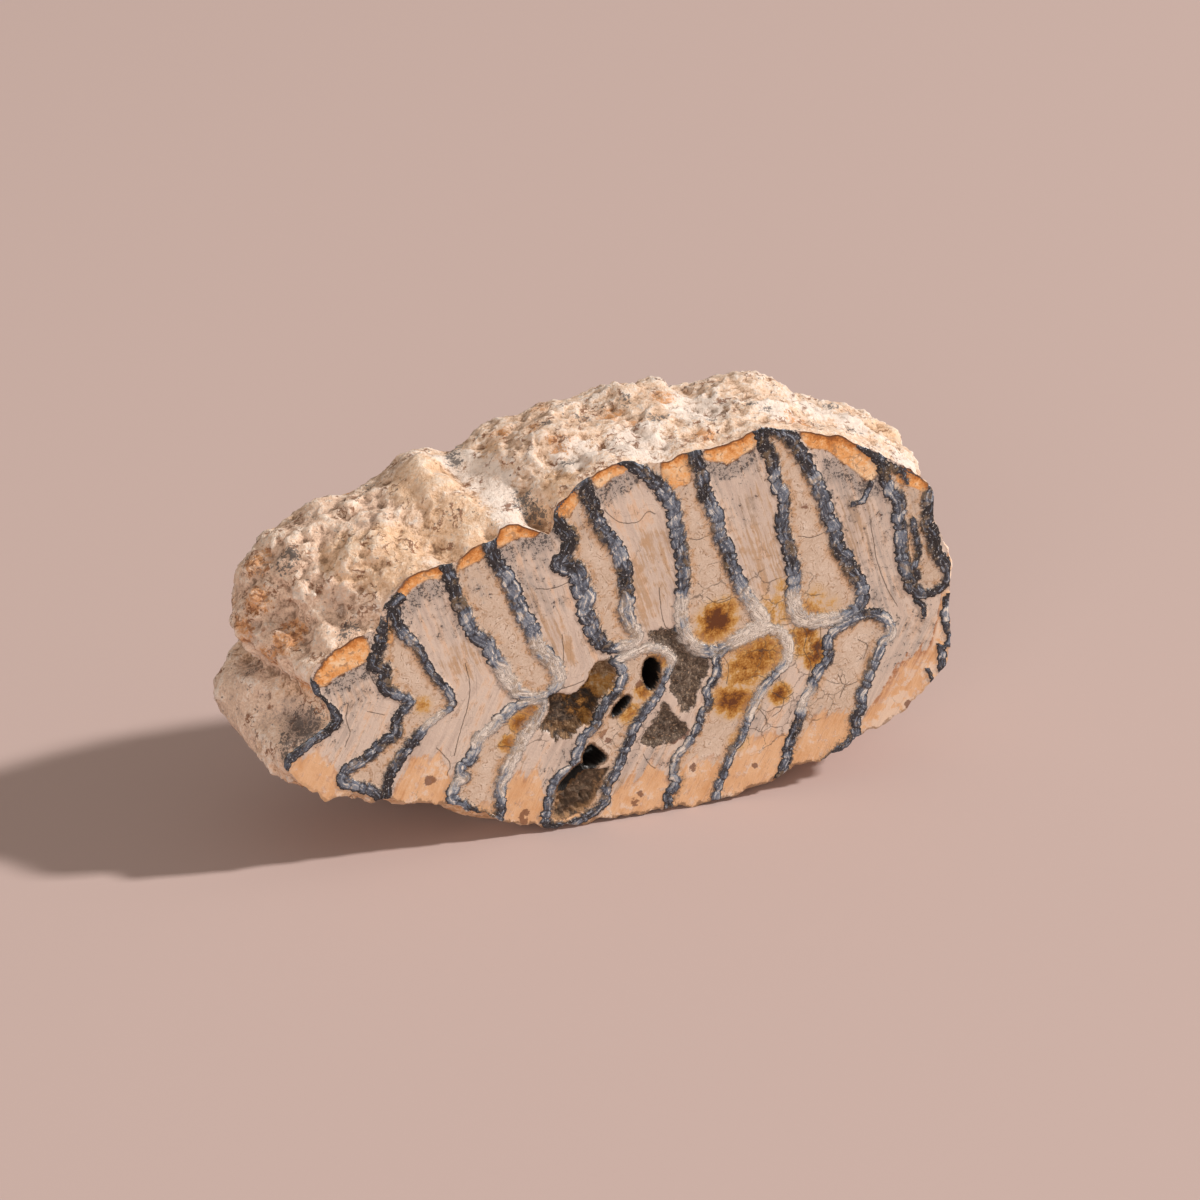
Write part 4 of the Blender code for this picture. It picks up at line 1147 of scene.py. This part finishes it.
fine_grain = noise_of(place, 0.4, 3.0, 0.7)
mid_grain = noise_of(place, 1.6, 4.0, 0.65)
blotches = noise_of(place, 7.0, 3.0, 0.6)
fine_swing, mid_swing, blotch_swing = fine_grain - 0.5, mid_grain - 0.5, blotches - 0.5
lane = field("lane") + blotch_swing * 0.9
streaks = noise_of(polished.point(lane * 0.55, height_on_face * 0.07), 1.0, 3.0, 0.6)
fine_streaks = noise_of(polished.point(lane * 1.45, height_on_face * 0.09), 1.0, 3.0, 0.62)

cement_tone = 0.45 * blotches + 0.7 * streaks + 0.3 * fine_streaks + 0.35 * mid_grain
cement_tone = cement_tone + 0.15 * fine_grain - 0.46
cement = grades(cement_tone, CEMENT)
warm_here = rise(streaks + blotch_swing * 0.6 + mid_swing * 0.5, 0.5, 0.72)
cement = lay(cement, STREAK_ORANGE, warm_here * 0.6)
grey_here = rise(fine_streaks - (streaks - 0.5) * 0.7 + field("cloud") * 0.12, 0.56, 0.74)
cement = lay(cement, STREAK_GREY, grey_here * 0.22)
brown_amount = fine_streaks * 1.2 + streaks * 0.5 + mid_swing * 0.6 + field("brown") * 0.30
brown_here = rise(brown_amount, 0.98, 1.30)
cement = lay(cement, STREAK_BROWN, brown_here * 0.7)
scratches = line_in(fine_streaks, 0.42, 0.03) * rise(blotches + mid_swing, 0.45, 0.7)
cement = lay(cement, SCRATCH_BROWN, scratches * 0.5)

dentine_tone = 0.45 * blotches + 0.6 * mid_grain + 0.35 * fine_grain - 0.20
dentine = grades(dentine_tone, DENTINE)
loops = noise_of(place, 3.0, 1.0, 0.5)
veins = most(line_in(loops, 0.46, 0.04), line_in(loops, 0.58, 0.035))
dentine = lay(dentine, VEIN_BROWN, veins * rise(mid_grain, 0.40, 0.58) * 0.6)
pores = fall(cells_of(place, 0.8), 0.13, 0.24)
dentine = lay(dentine, PORE_BROWN, pores * rise(mid_grain, 0.47, 0.62) * 0.7)
is_dentine = rise(across, -0.1, 0.1)
ground = lay(cement, dentine, is_dentine)

# %% [markdown]
# Grey clouds come in from the rim. They are speckled with black, like pepper, and the pepper is thickest
# along the enamel. The bottom is tan, with a brown line at its ragged upper edge, a broad brown band at
# the right end and dark brown in the chips of the lower rim, partly dirt and partly painted shade.

# %% Clouds and the tan bottom
TAN = [
    (0.0, (0.34, 0.13, 0.05)), (0.3, (0.62, 0.32, 0.14)),
    (0.55, (0.71, 0.43, 0.24)), (1.0, (0.82, 0.62, 0.46)),
]
TAN_STREAK, TAN_PALE = (0.38, 0.15, 0.07), (0.74, 0.60, 0.50)
TAN_BAND, TAN_EDGE = (0.48, 0.21, 0.09), (0.36, 0.15, 0.065)
CHIP_DIRT_AND_SHADE_BROWN = (0.13, 0.065, 0.035)
PEPPER, DUST = (0.035, 0.034, 0.038), (0.14, 0.085, 0.06)

by_enamel = fall(abs(across), 1.2, 3.4)
by_orange = fall(abs(field("orange") + 1.2), 0.8, 3.2) * (1 - is_dentine)
cloud_amount = field("cloud") * 0.6 + by_orange * 0.5 + (fine_streaks - 0.5) * 1.2 + mid_swing * 1.3
cloud_share = rise(cloud_amount + blotch_swing * 0.9, 0.35, 1.0)
ground = lay(ground, GREY_CLOUD, cloud_share * 0.55)
pepper_grain = noise_of(place, 0.5, 3.0, 0.8)
pepper_amount = cloud_share * 0.08 + by_enamel * 0.05 + by_orange * 0.10 + mid_swing * 0.7
pepper = rise(pepper_grain + pepper_amount, 0.71, 0.75)
ground = lay(ground, PEPPER, pepper * rise(field("cloud") + by_enamel * 0.6 + by_orange, 0.15, 0.6) * 0.85)
dust = rise(pepper_grain + blotch_swing * 0.3, 0.70, 0.75)
ground = lay(ground, DUST, dust * 0.6)

tan_edge = field("tan") + (streaks - 0.5) * 7 + mid_swing * 2.5
tan_tone = 0.35 * streaks + 0.6 * fine_streaks + 0.5 * blotches + 0.4 * mid_grain - 0.42
tan = grades(tan_tone, TAN)
tan = lay(tan, TAN_STREAK, rise(fine_streaks + mid_swing * 0.8, 0.56, 0.70) * 0.45)
right_end = rise(length_on_face, 50, 60)
pale_here = rise(blotches + mid_swing * 1.2 + right_end * 0.14, 0.58, 0.75)
tan = lay(tan, TAN_PALE, pale_here * 0.6)
band = fall(tan_edge, 1.0, 4.5) * right_end * rise(fine_streaks + mid_swing, 0.36, 0.6)
tan = lay(tan, TAN_BAND, band * 0.8)
tan_line = rise(tan_edge, -1.0, -0.1) * fall(tan_edge, 0.2, 1.6) * rise(mid_grain, 0.40, 0.6)
tan_line = tan_line * (0.4 + right_end * 0.6)
ground = lay(ground, tan, rise(tan_edge, -0.6, 0.5) * 0.92)
ground = lay(ground, TAN_EDGE, tan_line * 0.9)
# dark brown along the chipped lower rim: partly dirt, partly painted shade
chipped = fall(field("rim") + mid_swing * 2.4, 0.15, 0.6) * fall(height_on_face, 6, 26)
ground = lay(ground, CHIP_DIRT_AND_SHADE_BROWN, chipped * 0.75)

# %% Amber stains
AMBER = [
    (0.0, (0.66, 0.47, 0.27)), (0.3, (0.56, 0.31, 0.09)),
    (0.6, (0.34, 0.13, 0.012)), (0.9, (0.11, 0.028, 0.002)),
]
SPOT_BROWN = (0.15, 0.05, 0.02)

amber_amount = field("amber") * 1.15 + mid_swing * 1.2 * rise(field("amber"), 0.05, 0.35)
amber = grades(amber_amount + fine_swing * 0.45, AMBER)
ground = lay(ground, amber, rise(amber_amount, 0.06, 0.36))
spot = rise(field("spot") + mid_swing * 2.6, 0.55, 0.8)
ground = lay(ground, SPOT_BROWN, spot * 0.8)

# %% [markdown]
# The orange cement is veined, and a thin brown line parts it from the crust and from its neighbours.

# %% Orange patches
ORANGE = [
    (0.0, (0.26, 0.08, 0.015)), (0.3, (0.56, 0.20, 0.04)),
    (0.52, (0.77, 0.37, 0.13)), (0.8, (0.84, 0.60, 0.38)),
]
ORANGE_VEIN, ORANGE_RIM = (0.24, 0.085, 0.025), (0.10, 0.038, 0.015)

orange_in = field("orange") + mid_swing * 1.3 + fine_swing * 0.4
to_crust = fall(field("rim") + mid_swing * 1.5, 0.2, 1.8)
orange_tone = 0.9 * blotches + 0.75 * mid_grain + 0.25 * fine_grain - 0.36 - 0.34 * to_crust
orange = grades(orange_tone, ORANGE)
orange_veins = line_in(noise_of(place, 2.8, 2.0, 0.6), 0.5, 0.06) * rise(mid_grain, 0.45, 0.6)
orange = lay(orange, ORANGE_VEIN, orange_veins * 0.6)
ground = lay(ground, orange, rise(orange_in, -0.1, 0.3))
orange_rim = rise(orange_in, -0.35, 0.0) * fall(orange_in, 0.05, 0.55)
orange_rim = most(orange_rim, fall(field("rim"), 0.15, 0.5) * rise(orange_in, -0.4, 0.1))
orange_rim = orange_rim * rise(mid_grain + to_crust * 0.4, 0.4, 0.6)
ground = lay(ground, ORANGE_RIM, orange_rim * 0.85)

# %% [markdown]
# ## Mud, the brown hollow and the holes

# %% Mud, hollow and holes
MUD = [
    (0.0, (0.03, 0.019, 0.013)), (0.45, (0.125, 0.085, 0.06)),
    (0.72, (0.23, 0.17, 0.125)), (1.0, (0.60, 0.46, 0.34)),
]
BROWN = [
    (0.0, (0.010, 0.005, 0.002)), (0.3, (0.055, 0.024, 0.006)), (0.5, (0.28, 0.12, 0.018)),
    (0.7, (0.40, 0.21, 0.06)), (1.0, (0.46, 0.33, 0.20)),
]
POROUS = [
    (0.0, (0.012, 0.008, 0.006)), (0.45, (0.10, 0.06, 0.035)),
    (0.75, (0.34, 0.22, 0.14)), (1.0, (0.6, 0.45, 0.33)),
]
MUD_GRAIN, MUD_EDGE = (0.62, 0.40, 0.24), (0.06, 0.035, 0.02)

sand = noise_of(place, 0.6, 4.0, 0.8)
grains = fall(cells_of(place, 0.9), 0.16, 0.26) * rise(fine_grain, 0.5, 0.62)
mud_in = field("mud") + mid_swing * 2.6 + fine_swing * 0.6
mud = grades(sand * 1.8 + mid_swing * 0.9 + blotch_swing * 0.6 - 0.43, MUD)
mud = lay(mud, MUD_GRAIN, grains * 0.6)
mud_line = rise(mud_in, -0.5, 0.0) * fall(mud_in, 0.0, 0.7)
ground = lay(ground, mud, rise(mud_in, -0.12, 0.25))
ground = lay(ground, MUD_EDGE, mud_line * rise(blotches, 0.42, 0.6) * 0.7)
hollow_in = field("hollow") + mid_swing * 2.4 + fine_swing * 0.6
hollow_tone = 1.0 * blotches + 1.4 * mid_grain + 0.6 * sand - 0.90
hollow_tone = hollow_tone - 0.40 * field("core") - 0.12 * field("grey_bed")
hollow = grades(hollow_tone, BROWN)
hollow = lay(hollow, mud, rise(field("grey_bed") + mid_swing * 1.6, 0.4, 0.8) * 0.6)
ground = lay(ground, hollow, rise(hollow_in, -0.4, 0.3))
porous_in = field("porous") + mid_swing * 0.8
porous = grades(mid_grain * 0.9 + sand * 0.5 - 0.22, POROUS)
ground = lay(ground, porous, rise(porous_in, -0.1, 0.25))

# %% [markdown]
# ## Cracks
# The named cracks are lines of their own. In the crazed parts the cement has dried into small plates,
# which Voronoi cells draw: the distance to a cell's edge is zero along every crack.

# %% Cracks
CRACK_BROWN = (0.07, 0.045, 0.03)

crack_line = fall(abs(field("crack") + mid_swing * 0.45), 0.04, 0.15)
crack_line = crack_line * rise(field("crack_strength"), 0.1, 0.5)
bent = polished.bent_place(3.0, mid_grain, blotches)
craze_edge = cells_of(bent, 4.2, feature="DISTANCE_TO_EDGE")
crazing = fall(craze_edge, 0.012, 0.042) * rise(field("crazed") + blotch_swing, 0.35, 0.7)
hair_edge = cells_of(bent, 9.0, feature="DISTANCE_TO_EDGE")
hairs = fall(hair_edge, 0.002, 0.008) * rise(mid_grain + blotch_swing, 0.50, 0.62) * 0.6
any_crack = most(crack_line, most(crazing * 0.8, hairs))
ground = lay(ground, CRACK_BROWN, any_crack * 0.8)

# %% [markdown]
# ## The enamel
# Cut across, the enamel is a row of glassy pods, each as wide as the band, dark round its edge and
# blue-grey inside. One row of cells along the line draws them, and their round ends give the band its
# scalloped edges. Noise that flows along the band breaks them up, and only some of the seams show.

# %% Enamel pods
POD_LENGTH, POD_LEAN, POD_CURVE = 2.3, 0.30, 0.15
ENAMEL = [
    (0.0, (0.008, 0.008, 0.010)), (0.2, (0.030, 0.033, 0.043)), (0.4, (0.085, 0.105, 0.145)),
    (0.58, (0.185, 0.215, 0.275)), (0.74, (0.38, 0.39, 0.41)), (0.88, (0.57, 0.51, 0.46)),
    (1.0, (0.76, 0.68, 0.61)),
]

wander = noise_of(place, 3.0, 1.0) - 0.5
leaning = across * POD_LEAN + across * across * POD_CURVE
pod_at = (field("along") + leaning + wander * 3.2) * (1 / POD_LENGTH)
pod_edge = polished.row(pod_at, "Distance", "DISTANCE_TO_EDGE")
pod_tone = polished.node("SeparateColor", {0: polished.row(pod_at, "Color", "F1")})
scallop = rise(pod_edge, 0.0, 0.35)

ragged = fine_swing * 0.35 + mid_swing * 1.3
to_inner_edge = half_width * (0.88 + 0.26 * scallop) - across + ragged
to_outer_edge = half_width * (0.88 + 0.27 * scallop) + across + ragged * 0.6
enamel_depth = polished.least(to_inner_edge, to_outer_edge)
is_enamel = rise(to_outer_edge, -0.05, 0.07) * rise(to_inner_edge, -0.3, 0.4)

# %% Enamel colours
ENAMEL_RUST, ENAMEL_GROWTH = (0.24, 0.16, 0.085), (0.14, 0.105, 0.09)
ENAMEL_EDGE, ENAMEL_SPARKLE = (0.014, 0.013, 0.016), (0.62, 0.60, 0.60)

flow_place = polished.point(field("along") * 0.42 + wander * 1.6, across * 1.5 + wander * 1.2)
flow = noise_of(flow_place, 1.0, 3.0, 0.6)
milky = rise(field("tone") + (flow - 0.5) * 0.5, 0.60, 0.84)
glassy = 1 - milky
pod_light = rise(enamel_depth, 0.05, 0.85) * 0.26 + (pod_tone - 0.5) * 0.30 + (scallop - 0.5) * 0.10
tone = field("tone") * 0.95 - 0.27 + milky * 0.38 + pod_light * glassy
tone = tone + (flow - 0.5) * (1.15 - milky * 0.45) + mid_swing * 0.30 + fine_swing * 0.20
tone = tone + field("milk") * rise(0 - across, 0.0, 0.7) * 0.45
glint = rise(flow + fine_swing * 0.2, 0.57, 0.68) * rise(enamel_depth, 0.2, 0.5)
enamel = grades(tone + glint * 0.20, ENAMEL)
rust_in_enamel = rise(mid_grain + blotch_swing * 0.8 + across * 0.05, 0.58, 0.72)
enamel = lay(enamel, ENAMEL_RUST, rust_in_enamel * 0.55)
dark_edge = most(fall(to_outer_edge, 0.08, 0.52), fall(to_inner_edge, 0.0, 0.5) * 0.7)
dark_edge = most(dark_edge, fall(pod_edge, 0.01, 0.06) * rise(flow, 0.42, 0.55) * 0.75)
darkness = rise(mid_grain, 0.24, 0.42) * (1 - milky * 0.45)
enamel = lay(enamel, ENAMEL_EDGE, dark_edge * darkness * 0.94)
growth_lines = most(line_in(flow, 0.44, 0.032), line_in(flow, 0.56, 0.032))
enamel = lay(enamel, ENAMEL_GROWTH, growth_lines * (0.2 + milky * 0.6))
sparkle = rise(noise_of(place, 0.5, 2.0, 0.6), 0.66, 0.70)
enamel = lay(enamel, ENAMEL_SPARKLE, sparkle * rise(enamel_depth, 0.15, 0.3) * 0.6)

# %% [markdown]
# Just outside the enamel the dentine is stained brown, in a fringe about a millimetre wide, with loose
# dark grains of enamel in it. The cement side has a faint grey painted shadow beside the raised enamel.
# The holes come last, brown at their edges and painted black inside, as painted shade.

# %% Lay the enamel over the ground
FRINGE_BROWN, ENAMEL_SIDE_SHADOW_GREY = (0.50, 0.27, 0.12), (0.24, 0.20, 0.18)
LOOSE_ENAMEL = (0.07, 0.065, 0.07)
HOLE_EDGE, HOLE_SHADE_BLACK = (0.13, 0.06, 0.02), (0.006, 0.004, 0.003)

halo_in = fall(0 - to_inner_edge, 0.0, 2.0) * is_dentine
halo_out = fall(0 - to_outer_edge, 0.0, 1.0) * (1 - is_dentine)
fringe = halo_in * rise(mid_grain + blotch_swing * 0.8, 0.38, 0.6)
ground = lay(ground, FRINGE_BROWN, fringe * 0.7)
# painted shadow: faint grey beside the raised enamel on the cement side
ground = lay(ground, ENAMEL_SIDE_SHADOW_GREY, halo_out * rise(mid_grain, 0.4, 0.7) * 0.5)
loose = rise(pepper_grain + halo_in * 0.16 + halo_out * 0.05, 0.72, 0.76) * most(halo_in, halo_out)
ground = lay(ground, LOOSE_ENAMEL, loose * 0.8)
face_colour = lay(ground, enamel, is_enamel * (1 - milky * 0.12))
hole_in = field("hole") + fine_swing * 0.5 + mid_swing * 1.1
face_colour = lay(face_colour, HOLE_EDGE, rise(hole_in, -0.7, -0.3) * 0.85)
# painted shade: the holes are black inside
face_colour = lay(face_colour, HOLE_SHADE_BLACK, rise(hole_in, -0.2, 0.05))

# %% Shine and bump of the face
soft_ground = rise(most(mud_in, most(hollow_in, porous_in)), -0.1, 0.3)
face_roughness = 0.42 - 0.18 * is_enamel + 0.4 * soft_ground + mid_swing * 0.2
face_bump = is_enamel * glassy * (0.06 + 0.1 * scallop) + mid_grain * 0.06
face_bump = face_bump + fine_grain * (0.03 + soft_ground * 0.5)
polished_face = polished.finish(face_colour, face_roughness, face_bump, 0.8)

# %% [markdown]
# ## The crust
# The crust is old cement: chalky cream, paler on its rims, with painted highlight in the chalky white of
# the top and the gully, tan at a few places and grey in patches, and painted brown shade in its creases.
# Its colour follows the height fields of the net, broken up by noise of several sizes. Rust lies along
# thin hairs and in small spots, black specks sit in clusters, and small pits are painted dark as shade.

# %% Crust ground
CHALKY = [
    (0.0, (0.42, 0.25, 0.15)), (0.3, (0.72, 0.49, 0.34)),
    (0.55, (0.83, 0.62, 0.47)), (0.85, (0.89, 0.77, 0.68)),
]
BLOCKY = [
    (0.0, (0.28, 0.19, 0.14)), (0.3, (0.60, 0.41, 0.31)),
    (0.6, (0.81, 0.57, 0.42)), (0.95, (0.92, 0.78, 0.66)),
]
TAN_SKIN = [
    (0.0, (0.46, 0.26, 0.14)), (0.3, (0.71, 0.45, 0.27)),
    (0.6, (0.82, 0.56, 0.37)), (1.0, (0.92, 0.76, 0.61)),
]
LOBE_SKIN = [
    (0.0, (0.26, 0.19, 0.16)), (0.35, (0.62, 0.46, 0.37)),
    (0.6, (0.78, 0.56, 0.42)), (1.0, (0.90, 0.78, 0.69)),
]
CHALK_AND_HIGHLIGHT_WHITE = (0.87, 0.77, 0.70)

weathered = Paint("crust", {"IOR": 1.45})
place, noise_of, cells_of, field, rise, fall, line_in, most, grades, lay = weathered.brushes()
fine = noise_of(place, 0.55, 3.0, 0.75)
middle = noise_of(place, 2.0, 5.0, 0.72)
broad = noise_of(place, 9.0, 3.0, 0.6)
fine_swing, middle_swing, broad_swing = fine - 0.5, middle - 0.5, broad - 0.5
fine_height, broad_height = field("fine_height"), field("broad_height")

# level is above zero on rims and below it in creases: the ground is paler on rims and darker in creases, as
# painted shade
level = fine_height * 0.6 + broad_height * 0.22
ground_tone = 0.50 + level + middle_swing * 1.4 + broad_swing * 0.7 + fine_swing * 1.5
skin = grades(ground_tone, CHALKY)
in_block = rise(field("block"), 0.05, 0.6)
skin = lay(skin, grades(ground_tone + 0.05, BLOCKY), in_block * 0.85)
tan_amount = field("tan_skin") + middle_swing * 1.4 + broad_swing * 0.8 - level * 0.5
tan_here = rise(tan_amount, 0.35, 0.75)
skin = lay(skin, grades(ground_tone, TAN_SKIN), tan_here * 0.85)
skin = lay(skin, grades(ground_tone, LOBE_SKIN), rise(field("lobe"), 0.1, 0.6))
# partly chalky crust, partly painted highlight: white laid on the top, the gully and the rims
chalk_and_highlight_here = rise(field("chalk") + middle_swing * 2.0 + fine_swing + level * 0.5, 0.50, 0.95)
skin = lay(skin, CHALK_AND_HIGHLIGHT_WHITE, chalk_and_highlight_here * 0.75)
under_here = rise(field("under") + middle_swing * 0.5, 0.3, 0.7)
skin = lay(skin, grades(ground_tone, TAN), under_here * 0.8)

# %% Creases, rust and specks
CREASE_SHADE_BROWN, WORN_GREY = (0.22, 0.13, 0.08), (0.40, 0.34, 0.31)
RUST_ORANGE, RUST_BROWN, THREAD_BROWN = (0.62, 0.26, 0.07), (0.30, 0.13, 0.07), (0.22, 0.085, 0.035)
STAIN_AND_PIT_SHADE_BLACK, SPECK_AND_PIT_SHADE_BLACK = (0.05, 0.045, 0.048), (0.065, 0.05, 0.045)

# painted shade: brown laid in the creases of the crust
crease = fall(fine_height + broad_height * 0.1 + fine_swing * 0.5 + middle_swing * 0.6, -0.36, -0.12)
skin = lay(skin, CREASE_SHADE_BROWN, crease * 0.5)
grey_amount = middle_swing * 1.2 - broad_swing * 0.9 + fine_swing * 0.5 + in_block * 0.08
grey_here = rise(grey_amount, 0.12, 0.30)
skin = lay(skin, WORN_GREY, grey_here * (0.42 - chalk_and_highlight_here * 0.34))
rust_amount = field("rust") * (0.50 + in_block * 0.12) + middle_swing * 2.0 + fine_swing * 1.2
rust_here = rise(rust_amount, 0.40, 0.66)
skin = lay(skin, RUST_ORANGE, rust_here * 0.8)
skin = lay(skin, RUST_BROWN, rust_here * in_block * rise(middle, 0.5, 0.62) * 0.75)
bent = weathered.bent_place(2.2, fine, middle, broad)
hair_noise = noise_of(bent, 3.0, 2.0, 0.6)
hair_place = rise(noise_of(place, 4.5, 2.0) + field("rust") * 0.08, 0.50, 0.60)
threads = line_in(hair_noise, 0.5, 0.038) * hair_place
skin = lay(skin, THREAD_BROWN, threads * 0.85)
# black stains, and the painted shade of a pit beside the peak
dark_here = rise(field("dark") * 0.55 + middle_swing * 1.6 + fine_swing * 1.6, 0.42, 0.60)
skin = lay(skin, STAIN_AND_PIT_SHADE_BLACK, dark_here * 0.8)
pitted = rise(broad + middle_swing * 1.3, 0.48, 0.62)
# painted shade: small pits drawn as black dots; the specks beside them are the crust's own
pits = fall(cells_of(bent, 1.5), 0.12, 0.2) * pitted
specks = rise(noise_of(place, 0.7, 3.0, 0.75), 0.70, 0.74) * rise(noise_of(place, 5.0, 2.0), 0.44, 0.6)
specks = most(specks, pits)
skin = lay(skin, SPECK_AND_PIT_SHADE_BLACK, specks * 0.8)

# %% Bump of the crust
crumbs = cells_of(bent, 1.7)
crust_bump = fine * 0.45 + middle * 0.6 - crumbs * 0.15
crust_skin = weathered.finish(skin, 0.80 + fine_swing * 0.25, crust_bump, 0.8)

# %% Put both paints on
slot_of_polygon = np.where(polygon_on_face, 0, 1)
mesh.materials.clear()
mesh.materials.append(polished_face)
mesh.materials.append(crust_skin)
mesh.polygons.foreach_set("material_index", slot_of_polygon)
mesh.update()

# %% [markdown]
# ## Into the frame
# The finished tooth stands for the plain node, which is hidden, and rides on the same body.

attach(molar, "root")
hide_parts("molar")
mesh.calc_loop_triangles()
print("triangles:", len(mesh.loop_triangles))
